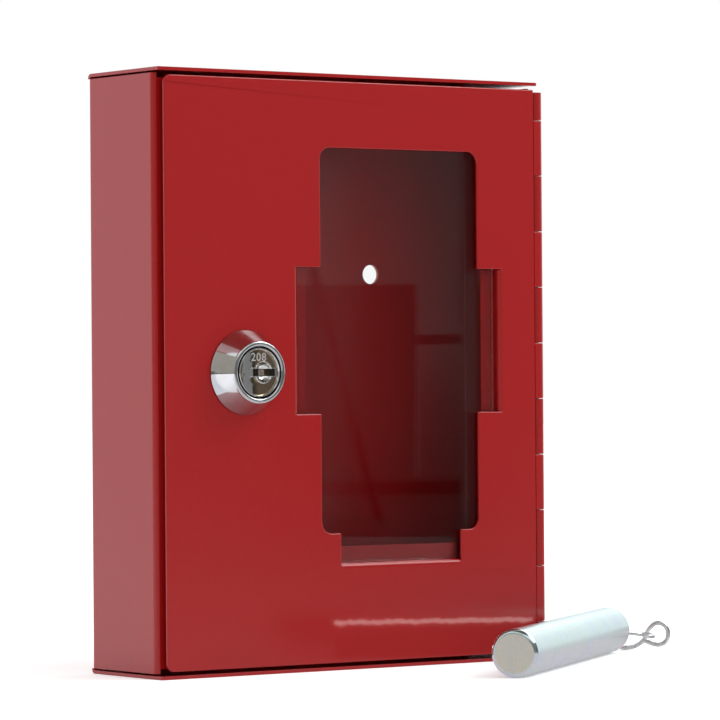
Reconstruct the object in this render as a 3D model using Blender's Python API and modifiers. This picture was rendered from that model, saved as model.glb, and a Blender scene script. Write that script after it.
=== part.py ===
# Emergency key cabinet: folded steel box, hinged door with a breakable pane, cam lock and loose striker.
# Metres, +Z up, -Y is the front. The origin is the middle of the bottom plate's underside.

import math

import bmesh
import bpy
from mathutils import Matrix, Vector

# Driving dimensions of the cabinet
OVERALL_WIDTH = 0.120
HEIGHT = 0.150
DEPTH = 0.032
SHEET = 0.00085
BEND_INSIDE = 0.0004
FIT_GAP = 0.0003
OVERRUN = 0.002

# Hinge, rolled from the right wall and from the door
KNUCKLE_RADIUS = 0.00165
PIN_RADIUS = 0.0005
STACK_END_GAP = 0.0025
FULL_KNUCKLES = 9
ROLL_SPAN = math.radians(285.0)
ROLL_STEP = math.radians(20.0)

# Walls, lip and door
WALL_TO_PLATE = 0.0005
DOOR_TO_PLATE = 0.0010
DOOR_TO_SIDE = 0.0017
DOOR_CORNER = 0.0020
LIP_SETBACK = 0.0025
LIP_WIDTH = 0.0062
LIP_END_CUT = 0.0012
LIP_CORNER = 0.0012
BACK_RELIEF = 0.0020

# Wall-fixing holes in the back
FIXING_HOLE_RADIUS = 0.0025
FIXING_HOLE_SPACING = 0.0540
FIXING_HOLE_HEIGHT = 0.1005

# Window, its notches and the glass channels
CHANNEL_TO_NUT = 0.003687
CHANNEL_TO_WALL = 0.012675
WINDOW_BOTTOM = 0.0344
WINDOW_BELOW_TOP = 0.0186
WINDOW_CORNER = 0.0030
SIDE_NOTCH_DEPTH = 0.0070
SIDE_NOTCH_HEIGHT = 0.0368
BOTTOM_NOTCH_DEPTH = 0.0075
BOTTOM_NOTCH_INSET = 0.00585
NOTCH_CORNER = 0.0008
TAB_ROOT = 0.0020
TAB_RELIEF = 0.0003
TAB_LIP = 0.0041
GLASS_THICKNESS = 0.0020
GLASS_RIGHT_GAP = 0.0011
GLASS_ABOVE_WINDOW = 0.0060
GLASS_EDGE = 0.0003

# Cam lock
LOCK_INSET = 0.025275
HEAD_BASE_RADIUS = 0.0105
HEAD_RIM = 0.0006
HEAD_HEIGHT = 0.0062
HEAD_FRONT_RADIUS = 0.00775
HEAD_LAND = 0.0003
BARREL_RADIUS = 0.0090
BARREL_ACROSS_FLATS = 0.0155
BARREL_LENGTH = 0.0115
PLUG_RADIUS = 0.00615
PLUG_SETBACK = 0.0001
PLUG_CHAMFER = 0.0004
JOURNAL_RADIUS = 0.0047
JOURNAL_LENGTH = 0.0018
KEY_ASIDE = 0.0014
KEYWAY_LENGTH = 0.0065
KEYWAY_WIDTH = 0.0021
KEYWAY_DEPTH = 0.0125
KEY_CUP_RADIUS = 0.0026
KEY_CUP_DEPTH = 0.0013
SHUTTER_LENGTH = 0.0018
SHUTTER_THICKNESS = 0.0007
SHUTTER_SETBACK = 0.0015
WAFER_COUNT = 4
WAFER_PITCH = 0.0023
WAFER_START = 0.0042
WAFER_THICKNESS = 0.0008
WAFER_LENGTH = 0.0110
WAFER_HEIGHT = 0.0046
WAFER_EAR_LENGTH = 0.0012
WAFER_EAR_HEIGHT = 0.0014
WAFER_EAR_PLACE = 0.0015
SPRING_SLOT_HALF = 0.0030
SPRING_TURNS = 4
SPRING_RADIUS = 0.00032
SPRING_WIRE_RADIUS = 0.00009
SPRING_TURN_POINTS = 8

# Nut, washers, cam and screw behind the door
WASHER_THICKNESS = 0.0008
WASHER_RADIUS = 0.0112
NUT_ACROSS_FLATS = 0.0215
NUT_THICKNESS = 0.0030
NUT_CHAMFER = 0.0006
TENON_SIZE = 0.0054
TENON_PROUD = 0.0002
CAM_THICKNESS = 0.0015
CAM_WIDTH = 0.0100
CAM_TAIL = 0.0062
CAM_CRANK_START = 0.0138
CAM_CRANK_END = 0.0185
CAM_REACH = 0.0232
CAM_LIP_GAP = 0.0005
CAM_CORNER = 0.0016
CAM_WASHER_RADIUS = 0.0041
SCREW_HEAD_RADIUS = 0.0036
SCREW_HEAD_HEIGHT = 0.0022
SCREW_SHANK_RADIUS = 0.0017
SCREW_SHANK_LENGTH = 0.0062
SCREW_SLOT = 0.0009
SCREW_SLOT_DEPTH = 0.0010

# Striker, its eye and its link, lying in front of the cabinet
STRIKER_RADIUS = 0.0060
STRIKER_LENGTH = 0.0985
STRIKER_CHAMFER = 0.0011
STRIKER_BESIDE_HINGE = 0.049575
STRIKER_AHEAD = 0.0515
STRIKER_AZIMUTH = math.radians(52.7)
EYE_HOLE_RADIUS = 0.0017
EYE_HOLE_DEPTH = 0.0040
EYE_WIRE_RADIUS = 0.0005
EYE_AZIMUTH = math.radians(105.0)
EYE_DROP = 0.0021
EYE_TILT = math.radians(12.0)
EYE_SEAT = 0.0030
EYE_BEND = 0.0022
EYE_REACH = 0.0126
EYE_STRAND_HALF = 0.0008
EYE_LOOP_HALF = 0.0018
EYE_LOOP_SPAN = math.radians(300.0)
LINK_WIRE_RADIUS = 0.0006
LINK_HALF_WIDTH = 0.00265
LINK_HALF_HEIGHT = 0.00295
LINK_RING_OFFSET = 0.0031
LINK_RISE = 0.0008
LINK_AZIMUTH = math.radians(37.7)
LINK_RING_START = math.radians(227.0)
LINK_RING_SPAN = math.radians(255.0)
LINK_RING_STEPS = 12
# Tail of the link from the eye: sideways and back in ring half widths, and height in ring heights
LINK_TAIL_SHARES = ((0.045, 0.0, 0.797), (-0.058, 0.0, 0.56), (-0.34, 0.038, 0.339),
                    (-0.83, 0.115, 0.144), (-1.36, 0.115, 0.042), (-1.886, 0.154, 0.0),
                    (-2.412, 0.334, 0.0), (-2.682, 0.718, 0.0), (-2.451, 1.091, 0.0),
                    (-1.963, 1.168, 0.0))

# Counts of straight sides
ROUND_SIDES = 48
SMALL_SIDES = 24
BEND_STEPS = 4
CORNER_STEPS = 4

# Distances under which points become one
CAP_WELD = 0.000001
SEAM_WELD = 0.00001

# Places worked out from the sizes above
FRONT = -DEPTH / 2
BACK = DEPTH / 2
BODY_WIDTH = OVERALL_WIDTH + SHEET - 2 * KNUCKLE_RADIUS
RIGHT = BODY_WIDTH / 2
LEFT = -RIGHT
AXIS_X = RIGHT - SHEET + KNUCKLE_RADIUS
AXIS_Y = FRONT + KNUCKLE_RADIUS
BORE_RADIUS = KNUCKLE_RADIUS - SHEET
STACK_LOW = STACK_END_GAP
STACK_HIGH = HEIGHT - STACK_END_GAP
KNUCKLE_PITCH = (STACK_HIGH - STACK_LOW) / (FULL_KNUCKLES + 1)
DOOR_LEFT = LEFT + DOOR_TO_SIDE
DOOR_LOW = SHEET + DOOR_TO_PLATE
DOOR_HIGH = HEIGHT - DOOR_LOW
DOOR_BACK = FRONT + SHEET
LOCK_X = LEFT + LOCK_INSET
LOCK_Z = HEIGHT / 2
KEY_X = LOCK_X + KEY_ASIDE
NUT_CORNER_RADIUS = NUT_ACROSS_FLATS / math.sqrt(3.0)
CHANNEL_LEFT = LOCK_X + NUT_CORNER_RADIUS + CHANNEL_TO_NUT
CHANNEL_RIGHT = RIGHT - CHANNEL_TO_WALL
WINDOW_LEFT = CHANNEL_LEFT + SIDE_NOTCH_DEPTH
WINDOW_RIGHT = CHANNEL_RIGHT - SIDE_NOTCH_DEPTH
WINDOW_TOP = HEIGHT - WINDOW_BELOW_TOP
WINDOW_X = (WINDOW_LEFT + WINDOW_RIGHT) / 2
WINDOW_Z = (WINDOW_BOTTOM + WINDOW_TOP) / 2
FOOT_LEFT = WINDOW_LEFT + BOTTOM_NOTCH_INSET
FOOT_RIGHT = WINDOW_RIGHT - BOTTOM_NOTCH_INSET
CHANNEL_FLOOR = WINDOW_BOTTOM - BOTTOM_NOTCH_DEPTH
GLASS_FRONT = DOOR_BACK + FIT_GAP
TAB_LIP_FRONT = GLASS_FRONT + GLASS_THICKNESS + FIT_GAP
BEND_OUTSIDE = BEND_INSIDE + SHEET
LIP_FRONT = FRONT + LIP_SETBACK
HEAD_BACK = FRONT - FIT_GAP
HEAD_FRONT = HEAD_BACK - HEAD_HEIGHT
BARREL_END = HEAD_BACK + BARREL_LENGTH
PLUG_BORE = PLUG_RADIUS + FIT_GAP
JOURNAL_BORE = JOURNAL_RADIUS + FIT_GAP
PLUG_FRONT = HEAD_FRONT + PLUG_SETBACK
PLUG_SHOULDER = BARREL_END - JOURNAL_LENGTH
CAM_FRONT = BARREL_END + FIT_GAP
CAM_BACK = CAM_FRONT + CAM_THICKNESS
TENON_END = CAM_BACK + TENON_PROUD
CAM_WASHER_FRONT = TENON_END + FIT_GAP
CAM_WASHER_BACK = CAM_WASHER_FRONT + WASHER_THICKNESS
SCREW_HEAD_FRONT = CAM_WASHER_BACK + FIT_GAP
SCREW_HEAD_BACK = SCREW_HEAD_FRONT + SCREW_HEAD_HEIGHT
CAM_TIP_FRONT = LIP_FRONT + SHEET + CAM_LIP_GAP
WASHER_FRONT = DOOR_BACK + FIT_GAP
NUT_FRONT = WASHER_FRONT + WASHER_THICKNESS + FIT_GAP


def clear_scene():
    for old in list(bpy.data.objects):
        bpy.data.objects.remove(old, do_unlink=True)


def new_collection(name):
    collection = bpy.data.collections.new(name)
    bpy.context.scene.collection.children.link(collection)
    return collection


clear_scene()
PARTS = new_collection("emergency_key_cabinet")
CUTTERS = new_collection("cutters")


def make_material(name, colour, roughness, metallic):
    material = bpy.data.materials.new(name)
    material.use_nodes = True
    shader = material.node_tree.nodes["Principled BSDF"]
    shader.inputs["Base Color"].default_value = (*colour, 1.0)
    shader.inputs["Roughness"].default_value = roughness
    shader.inputs["Metallic"].default_value = metallic
    material.diffuse_color = (*colour, 1.0)
    return material


RED_PAINT = make_material("red_powder_coat", (0.36, 0.016, 0.018), 0.28, 0.0)
BARE_PIN = make_material("bare_steel_pin", (0.50, 0.50, 0.50), 0.35, 1.0)
GLASS = make_material("clear_glass", (0.60, 0.62, 0.60), 0.05, 0.0)
CHROME = make_material("chrome_plate", (0.62, 0.63, 0.65), 0.10, 1.0)
PLUG_METAL = make_material("nickel_plug", (0.30, 0.26, 0.22), 0.25, 1.0)
BRASS = make_material("brass", (0.55, 0.42, 0.20), 0.30, 1.0)
SPRING_STEEL = make_material("spring_steel", (0.45, 0.45, 0.46), 0.30, 1.0)
ZINC_STEEL = make_material("zinc_plated_steel", (0.62, 0.64, 0.65), 0.32, 1.0)
STRIKER_ZINC = make_material("bright_zinc_plate", (0.70, 0.74, 0.76), 0.28, 1.0)
LINK_ZINC = make_material("zinc_plated_wire", (0.58, 0.60, 0.61), 0.30, 1.0)


def place(obj, collection, material=None):
    for used in list(obj.users_collection):
        used.objects.unlink(obj)
    collection.objects.link(obj)
    if collection is CUTTERS:
        obj.hide_render = True
        obj.display_type = "WIRE"
    if material is not None:
        obj.data.materials.clear()
        obj.data.materials.append(material)
    return obj


def object_from_bmesh(name, bm, collection, material=None):
    mesh = bpy.data.meshes.new(name)
    bm.to_mesh(mesh)
    bm.free()
    return place(bpy.data.objects.new(name, mesh), collection, material)


def box(name, low, high, collection=CUTTERS, material=None):
    low, high = Vector(low), Vector(high)
    bm = bmesh.new()
    size = Matrix.Diagonal((*(high - low), 1.0))
    bmesh.ops.create_cube(bm, size=1.0, matrix=Matrix.Translation((low + high) / 2) @ size)
    return object_from_bmesh(name, bm, collection, material)


def rod(name, start, end, radius, sides, collection=CUTTERS, material=None):
    """Straight round bar between two points."""
    start, end = Vector(start), Vector(end)
    turn = Vector((0.0, 0.0, 1.0)).rotation_difference(end - start).to_matrix().to_4x4()
    bm = bmesh.new()
    bmesh.ops.create_cone(bm, cap_ends=True, segments=sides, radius1=radius, radius2=radius,
                          depth=(end - start).length, matrix=Matrix.Translation((start + end) / 2) @ turn)
    return object_from_bmesh(name, bm, collection, material)


def turned(name, profile, collection=CUTTERS, material=None, sides=ROUND_SIDES):
    """Turned piece on the lock's axis: profile holds (radius, y) from the front to the back outside."""
    bm = bmesh.new()
    corners = [bm.verts.new((radius, 0.0, -y)) for radius, y in profile]
    for first, second in zip(corners, corners[1:] + corners[:1]):
        if first.co.x > 0.0 or second.co.x > 0.0:
            bm.edges.new((first, second))
    obj = object_from_bmesh(name, bm, collection, material)
    obj.location = (LOCK_X, 0.0, LOCK_Z)
    obj.rotation_euler = (math.pi / 2, 0.0, 0.0)
    screw = obj.modifiers.new("turn", "SCREW")
    screw.axis = "Z"
    screw.angle = 2 * math.pi
    screw.steps = sides
    screw.render_steps = sides
    screw.use_merge_vertices = True
    screw.merge_threshold = SEAM_WELD
    return obj


def arc(centre, radius, start, end, steps):
    turn = (end - start) / steps
    return [Vector((centre[0] + radius * math.cos(start + turn * i),
                    centre[1] + radius * math.sin(start + turn * i))) for i in range(steps + 1)]


def rounded_corner(before, corner, after, radius, steps):
    """Arc that replaces a corner, tangent to both of its sides."""
    to_before = (before - corner).normalized()
    to_after = (after - corner).normalized()
    half_angle = to_before.angle(to_after) / 2
    bisector = (to_before + to_after).normalized()
    centre = corner + bisector * (radius / math.sin(half_angle))
    start = corner + to_before * (radius / math.tan(half_angle)) - centre
    end = corner + to_after * (radius / math.tan(half_angle)) - centre
    first = math.atan2(start.y, start.x)
    sweep = math.atan2(start.x * end.y - start.y * end.x, start.dot(end))
    return arc(centre, radius, first, first + sweep, steps)


def bent_path(points):
    """Sheet surface with its material on the right of travel, every corner a press-brake bend."""
    points = [Vector(point) for point in points]
    path = [points[0]]
    for before, corner, after in zip(points, points[1:], points[2:]):
        into, out = corner - before, after - corner
        right_turn = into.x * out.y - into.y * out.x < 0.0
        radius = BEND_OUTSIDE if right_turn else BEND_INSIDE
        path += rounded_corner(before, corner, after, radius, BEND_STEPS)
    return path + [points[-1]]


def sheet_strip(name, path, low, high, upright, collection=CUTTERS, material=None):
    """Sheet bent along a path in plan (upright) or in side view, with its thickness from Solidify."""
    def lift(point, along):
        return (point[0], point[1], along) if upright else (along, point[0], point[1])

    bm = bmesh.new()
    row = [bm.verts.new(lift(point, low)) for point in path]
    edges = [bm.edges.new(pair) for pair in zip(row, row[1:])]
    grown = bmesh.ops.extrude_edge_only(bm, edges=edges)["geom"]
    rise = Vector(lift((0.0, 0.0), high - low))
    bmesh.ops.translate(bm, vec=rise, verts=[item for item in grown if isinstance(item, bmesh.types.BMVert)])
    bmesh.ops.recalc_face_normals(bm, faces=bm.faces[:])
    bm.faces.ensure_lookup_table()
    travel = Vector(path[1]) - Vector(path[0])
    outer_side = Vector(lift((-travel.y, travel.x), 0.0))
    first_face = min(bm.faces, key=lambda face: (face.calc_center_median() - row[0].co).length)
    if first_face.normal.dot(outer_side) < 0.0:
        bmesh.ops.reverse_faces(bm, faces=bm.faces[:])
    obj = object_from_bmesh(name, bm, collection, material)
    wall = obj.modifiers.new("sheet", "SOLIDIFY")
    wall.thickness = SHEET
    wall.offset = -1.0
    wall.use_even_offset = True
    return obj


def rounded_outline(corners):
    """Closed outline from (x, z, radius) corners."""
    outline = []
    for index, (x, z, radius) in enumerate(corners):
        before = Vector(corners[index - 1][:2])
        after = Vector(corners[(index + 1) % len(corners)][:2])
        if radius > 0.0:
            outline += rounded_corner(before, Vector((x, z)), after, radius, CORNER_STEPS)
        else:
            outline.append(Vector((x, z)))
    return outline


def plate(name, outline, front, back, collection=CUTTERS, material=None):
    """Flat plate facing -Y, cut to an outline in x and z."""
    curve = bpy.data.curves.new(name, "CURVE")
    curve.dimensions = "2D"
    curve.fill_mode = "BOTH"
    curve.extrude = (back - front) / 2
    spline = curve.splines.new("POLY")
    spline.points.add(len(outline) - 1)
    for point, (x, z) in zip(spline.points, outline):
        point.co = (x, z, 0.0, 1.0)
    spline.use_cyclic_u = True
    guide = bpy.data.objects.new(name + "_outline", curve)
    CUTTERS.objects.link(guide)
    guide.location = (0.0, (front + back) / 2, 0.0)
    guide.rotation_euler = (math.pi / 2, 0.0, 0.0)
    return mesh_from_curve(name, guide, collection, material)


def mesh_from_curve(name, guide, collection, material):
    """Mesh copy of a curve object, with its caps welded on."""
    bpy.context.view_layer.update()
    mesh = bpy.data.meshes.new_from_object(guide.evaluated_get(bpy.context.evaluated_depsgraph_get()))
    bm = bmesh.new()
    bm.from_mesh(mesh)
    bmesh.ops.remove_doubles(bm, verts=bm.verts[:], dist=CAP_WELD)
    bm.to_mesh(mesh)
    bm.free()
    obj = bpy.data.objects.new(name, mesh)
    obj.matrix_world = guide.matrix_world
    bpy.data.objects.remove(guide, do_unlink=True)
    return place(obj, collection, material)


def wire(name, points, radius, collection=CUTTERS, material=None, resolution=2):
    """Round wire along points, with flat ends."""
    curve = bpy.data.curves.new(name, "CURVE")
    curve.dimensions = "3D"
    curve.bevel_depth = radius
    curve.bevel_resolution = resolution
    curve.use_fill_caps = True
    spline = curve.splines.new("POLY")
    spline.points.add(len(points) - 1)
    for point, place_at in zip(spline.points, points):
        point.co = (*place_at, 1.0)
    guide = bpy.data.objects.new(name + "_route", curve)
    CUTTERS.objects.link(guide)
    return mesh_from_curve(name, guide, collection, material)


def combine(target, tool, operation):
    modifier = target.modifiers.new(tool.name, "BOOLEAN")
    modifier.operation = operation
    modifier.object = tool
    modifier.solver = "EXACT"


def cut(target, *tools):
    for tool in tools:
        combine(target, tool, "DIFFERENCE")


def join(target, *tools):
    for tool in tools:
        combine(target, tool, "UNION")


def bevel(obj, width, segments=2, angle=40.0):
    modifier = obj.modifiers.new("edges", "BEVEL")
    modifier.width = width
    modifier.segments = segments
    modifier.limit_method = "ANGLE"
    modifier.angle_limit = math.radians(angle)


def shade_round(obj):
    for polygon in obj.data.polygons:
        polygon.use_smooth = True
    obj.data.set_sharp_from_angle(angle=math.radians(35.0))


def knuckle_ranges():
    """Heights of the eleven knuckles from the top: half, nine full, half."""
    edges = [STACK_HIGH, STACK_HIGH - KNUCKLE_PITCH / 2]
    for _ in range(FULL_KNUCKLES):
        edges.append(edges[-1] - KNUCKLE_PITCH)
    edges.append(STACK_LOW)
    return list(zip(edges[1:], edges))


KNUCKLES = knuckle_ranges()
BODY_KNUCKLES = KNUCKLES[0::2]
DOOR_KNUCKLES = KNUCKLES[1::2]


def knuckle_slot(name, low, high, back):
    """Cutter that clears the hinge line over one stretch of height."""
    return box(name, (AXIS_X - KNUCKLE_RADIUS - FIT_GAP, FRONT - OVERRUN, low),
               (AXIS_X + KNUCKLE_RADIUS + OVERRUN, back, high))


def make_shell():
    wrap = bent_path([(FRONT, HEIGHT), (BACK, HEIGHT), (BACK, 0.0), (FRONT, 0.0)])
    shell = sheet_strip("cabinet_shell", wrap, LEFT, RIGHT, False, PARTS, RED_PAINT)

    wall_low = SHEET + WALL_TO_PLATE
    wall_high = HEIGHT - wall_low
    for side, edge in (("left", LEFT), ("right", RIGHT)):
        inner = edge - math.copysign(BACK_RELIEF, edge)
        outer = edge + math.copysign(OVERRUN, edge)
        cut(shell, box(f"back_relief_{side}", (min(inner, outer), BACK - OVERRUN, wall_low),
                       (max(inner, outer), BACK + OVERRUN, wall_high)))

    lip_end = LEFT + LIP_WIDTH
    walls = bent_path([(lip_end, LIP_FRONT), (LEFT, LIP_FRONT), (LEFT, BACK), (RIGHT, BACK),
                       (RIGHT, AXIS_Y)])
    roll_steps = round(ROLL_SPAN / ROLL_STEP)
    walls += arc((AXIS_X, AXIS_Y), BORE_RADIUS, math.pi, math.pi + ROLL_SPAN, roll_steps)[1:]
    sides = sheet_strip("side_walls", walls, wall_low, wall_high, True)

    clear_back = AXIS_Y + KNUCKLE_RADIUS + FIT_GAP
    for index, (low, high) in enumerate(DOOR_KNUCKLES):
        cut(sides, knuckle_slot(f"wall_slot_{index}", low - FIT_GAP / 2, high + FIT_GAP / 2, clear_back))
    cut(sides, knuckle_slot("wall_slot_top", STACK_HIGH, HEIGHT, clear_back),
        knuckle_slot("wall_slot_bottom", 0.0, STACK_LOW, clear_back))

    lip_low = wall_low + LIP_END_CUT
    lip_high = wall_high - LIP_END_CUT
    for name, low, high in (("lip_cut_bottom", 0.0, lip_low), ("lip_cut_top", lip_high, HEIGHT)):
        cut(sides, box(name, (LEFT + LIP_CORNER + SHEET, FRONT, low),
                       (lip_end + OVERRUN, LIP_FRONT + SHEET + BEND_OUTSIDE, high)))
    join(shell, sides)

    for side, x in (("left", -FIXING_HOLE_SPACING / 2), ("right", FIXING_HOLE_SPACING / 2)):
        cut(shell, rod(f"fixing_hole_{side}", (x, BACK - OVERRUN, FIXING_HOLE_HEIGHT),
                       (x, BACK + OVERRUN, FIXING_HOLE_HEIGHT), FIXING_HOLE_RADIUS, SMALL_SIDES))
    return shell


def window_outline():
    notch_low = WINDOW_Z - SIDE_NOTCH_HEIGHT / 2
    notch_high = WINDOW_Z + SIDE_NOTCH_HEIGHT / 2
    left = CHANNEL_LEFT - BEND_OUTSIDE
    right = CHANNEL_RIGHT + BEND_OUTSIDE
    floor = CHANNEL_FLOOR - BEND_OUTSIDE
    return rounded_outline([
        (WINDOW_LEFT, WINDOW_BOTTOM, WINDOW_CORNER), (FOOT_LEFT, WINDOW_BOTTOM, 0.0),
        (FOOT_LEFT, floor, NOTCH_CORNER), (FOOT_RIGHT, floor, NOTCH_CORNER),
        (FOOT_RIGHT, WINDOW_BOTTOM, 0.0), (WINDOW_RIGHT, WINDOW_BOTTOM, WINDOW_CORNER),
        (WINDOW_RIGHT, notch_low, 0.0), (right, notch_low, NOTCH_CORNER),
        (right, notch_high, NOTCH_CORNER), (WINDOW_RIGHT, notch_high, 0.0),
        (WINDOW_RIGHT, WINDOW_TOP, WINDOW_CORNER), (WINDOW_LEFT, WINDOW_TOP, WINDOW_CORNER),
        (WINDOW_LEFT, notch_high, 0.0), (left, notch_high, NOTCH_CORNER),
        (left, notch_low, NOTCH_CORNER), (WINDOW_LEFT, notch_low, 0.0)])


def make_glass_channels():
    """Three tabs bent back out of the door, which hold the pane at its sides and foot."""
    low = WINDOW_Z - SIDE_NOTCH_HEIGHT / 2 + TAB_RELIEF
    high = WINDOW_Z + SIDE_NOTCH_HEIGHT / 2 - TAB_RELIEF
    right = bent_path([(CHANNEL_RIGHT + TAB_ROOT, FRONT), (CHANNEL_RIGHT, FRONT),
                       (CHANNEL_RIGHT, TAB_LIP_FRONT), (CHANNEL_RIGHT - TAB_LIP, TAB_LIP_FRONT)])
    left = bent_path([(CHANNEL_LEFT + TAB_LIP, TAB_LIP_FRONT), (CHANNEL_LEFT, TAB_LIP_FRONT),
                      (CHANNEL_LEFT, FRONT), (CHANNEL_LEFT - TAB_ROOT, FRONT)])
    foot = bent_path([(FRONT, CHANNEL_FLOOR - TAB_ROOT), (FRONT, CHANNEL_FLOOR),
                      (TAB_LIP_FRONT, CHANNEL_FLOOR), (TAB_LIP_FRONT, CHANNEL_FLOOR + TAB_LIP)])
    return (sheet_strip("channel_right", right, low, high, True),
            sheet_strip("channel_left", left, low, high, True),
            sheet_strip("channel_foot", foot, FOOT_LEFT + TAB_RELIEF, FOOT_RIGHT - TAB_RELIEF, False))


def corner_cutter(name, z, inward):
    """Cutter for a rounded free corner of the door, at its bottom or its top."""
    radius = DOOR_CORNER
    centre = (DOOR_LEFT + radius, z + inward * radius)
    start = math.pi
    end = math.pi + inward * math.pi / 2
    curve = arc(centre, radius, start, end, CORNER_STEPS)
    outside = [(centre[0], z - inward * OVERRUN), (DOOR_LEFT - OVERRUN, z - inward * OVERRUN),
               (DOOR_LEFT - OVERRUN, centre[1])]
    return plate(name, [tuple(point) for point in curve] + outside, FRONT - OVERRUN, DOOR_BACK + OVERRUN)


def lock_round(name, radius, across_flats, front, back, collection=CUTTERS):
    """Round bar on the lock's axis with two flats."""
    half = math.acos(min(1.0, across_flats / 2 / radius))
    right = arc((LOCK_X, LOCK_Z), radius, half - math.pi / 2, math.pi / 2 - half, ROUND_SIDES // 3)
    left = arc((LOCK_X, LOCK_Z), radius, math.pi / 2 + half, 3 * math.pi / 2 - half, ROUND_SIDES // 3)
    return plate(name, [tuple(point) for point in right + left], front, back, collection)


def make_door():
    roll_steps = round(ROLL_SPAN / ROLL_STEP)
    end_angle = math.pi * 3 / 2 + ROLL_SPAN
    path = arc((AXIS_X, AXIS_Y), KNUCKLE_RADIUS, end_angle, math.pi * 3 / 2, roll_steps)
    path.append(Vector((DOOR_LEFT, FRONT)))
    door = sheet_strip("door_panel", path, DOOR_LOW, DOOR_HIGH, True, PARTS, RED_PAINT)

    for index, (low, high) in enumerate(BODY_KNUCKLES):
        low = DOOR_LOW - OVERRUN if index == len(BODY_KNUCKLES) - 1 else low - FIT_GAP / 2
        high = DOOR_HIGH + OVERRUN if index == 0 else high + FIT_GAP / 2
        cut(door, knuckle_slot(f"door_slot_{index}", low, high, AXIS_Y + KNUCKLE_RADIUS + OVERRUN))

    cut(door, plate("window_cutter", window_outline(), FRONT - OVERRUN, DOOR_BACK + OVERRUN),
        corner_cutter("door_corner_bottom", DOOR_LOW, 1.0),
        corner_cutter("door_corner_top", DOOR_HIGH, -1.0),
        lock_round("lock_hole", BARREL_RADIUS + FIT_GAP, BARREL_ACROSS_FLATS + 2 * FIT_GAP,
                   FRONT - OVERRUN, DOOR_BACK + OVERRUN))
    join(door, *make_glass_channels())
    return door


def make_pin():
    pin = rod("hinge_pin", (AXIS_X, AXIS_Y, STACK_LOW), (AXIS_X, AXIS_Y, STACK_HIGH), PIN_RADIUS,
              SMALL_SIDES // 2, PARTS, BARE_PIN)
    shade_round(pin)
    return pin


def make_glass():
    low = (CHANNEL_LEFT + FIT_GAP, GLASS_FRONT, CHANNEL_FLOOR + FIT_GAP)
    high = (CHANNEL_RIGHT - GLASS_RIGHT_GAP, GLASS_FRONT + GLASS_THICKNESS, WINDOW_TOP + GLASS_ABOVE_WINDOW)
    pane = box("glass_pane", low, high, PARTS, GLASS)
    bevel(pane, GLASS_EDGE, 1)
    return pane


def make_housing():
    front_outer = HEAD_FRONT_RADIUS
    housing = turned("lock_housing", [
        (PLUG_BORE, HEAD_FRONT), (front_outer - HEAD_LAND, HEAD_FRONT),
        (front_outer, HEAD_FRONT + HEAD_LAND),
        (HEAD_BASE_RADIUS - HEAD_LAND, HEAD_BACK - HEAD_RIM), (HEAD_BASE_RADIUS, HEAD_BACK - HEAD_RIM / 2),
        (HEAD_BASE_RADIUS, HEAD_BACK), (BARREL_RADIUS, HEAD_BACK), (BARREL_RADIUS, BARREL_END),
        (JOURNAL_BORE, BARREL_END), (JOURNAL_BORE, PLUG_SHOULDER), (PLUG_BORE, PLUG_SHOULDER)],
        PARTS, CHROME)
    half = BARREL_ACROSS_FLATS / 2
    reach = BARREL_RADIUS + OVERRUN
    for name, side in (("flat_below", -1.0), ("flat_above", 1.0)):
        ends = sorted((LOCK_Z + side * half, LOCK_Z + side * reach))
        cut(housing, box(name, (LOCK_X - reach, HEAD_BACK, ends[0]),
                         (LOCK_X + reach, BARREL_END + OVERRUN, ends[1])))
    return housing


def wafer_places():
    return [PLUG_FRONT + WAFER_START + index * WAFER_PITCH for index in range(WAFER_COUNT)]


def make_plug():
    plug = turned("lock_plug", [
        (0.0, PLUG_FRONT), (PLUG_RADIUS - PLUG_CHAMFER, PLUG_FRONT),
        (PLUG_RADIUS, PLUG_FRONT + PLUG_CHAMFER),
        (PLUG_RADIUS, PLUG_SHOULDER - FIT_GAP), (JOURNAL_RADIUS, PLUG_SHOULDER - FIT_GAP),
        (JOURNAL_RADIUS, CAM_FRONT - FIT_GAP), (0.0, CAM_FRONT - FIT_GAP)], PARTS, PLUG_METAL)
    half = TENON_SIZE / 2
    join(plug, box("tenon", (LOCK_X - half, PLUG_SHOULDER, LOCK_Z - half),
                   (LOCK_X + half, TENON_END, LOCK_Z + half)))
    cut(plug, rod("screw_hole", (LOCK_X, TENON_END + OVERRUN, LOCK_Z),
                  (LOCK_X, SCREW_HEAD_FRONT - SCREW_SHANK_LENGTH - FIT_GAP, LOCK_Z),
                  SCREW_SHANK_RADIUS + FIT_GAP, SMALL_SIDES))
    cut(plug, rod("key_cup", (KEY_X, PLUG_FRONT - OVERRUN, LOCK_Z),
                  (KEY_X, PLUG_FRONT + KEY_CUP_DEPTH, LOCK_Z), KEY_CUP_RADIUS, SMALL_SIDES))
    cut(plug, box("keyway", (KEY_X - KEYWAY_LENGTH / 2, PLUG_FRONT - OVERRUN, LOCK_Z - KEYWAY_WIDTH / 2),
                  (KEY_X + KEYWAY_LENGTH / 2, PLUG_FRONT + KEYWAY_DEPTH, LOCK_Z + KEYWAY_WIDTH / 2)))
    reach = PLUG_RADIUS + OVERRUN
    room = WAFER_HEIGHT / 2 + FIT_GAP
    ear_room = WAFER_HEIGHT / 2 + WAFER_EAR_HEIGHT + FIT_GAP
    for index, y in enumerate(wafer_places()):
        front, back = y - FIT_GAP, y + WAFER_THICKNESS + FIT_GAP
        cut(plug, box(f"wafer_slot_{index}", (LOCK_X - reach, front, LOCK_Z - room),
                      (LOCK_X + reach, back, LOCK_Z + room)))
        cut(plug, box(f"spring_slot_{index}", (LOCK_X - SPRING_SLOT_HALF, front, LOCK_Z),
                      (LOCK_X + SPRING_SLOT_HALF, back, LOCK_Z + ear_room)))
    return plug


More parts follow.
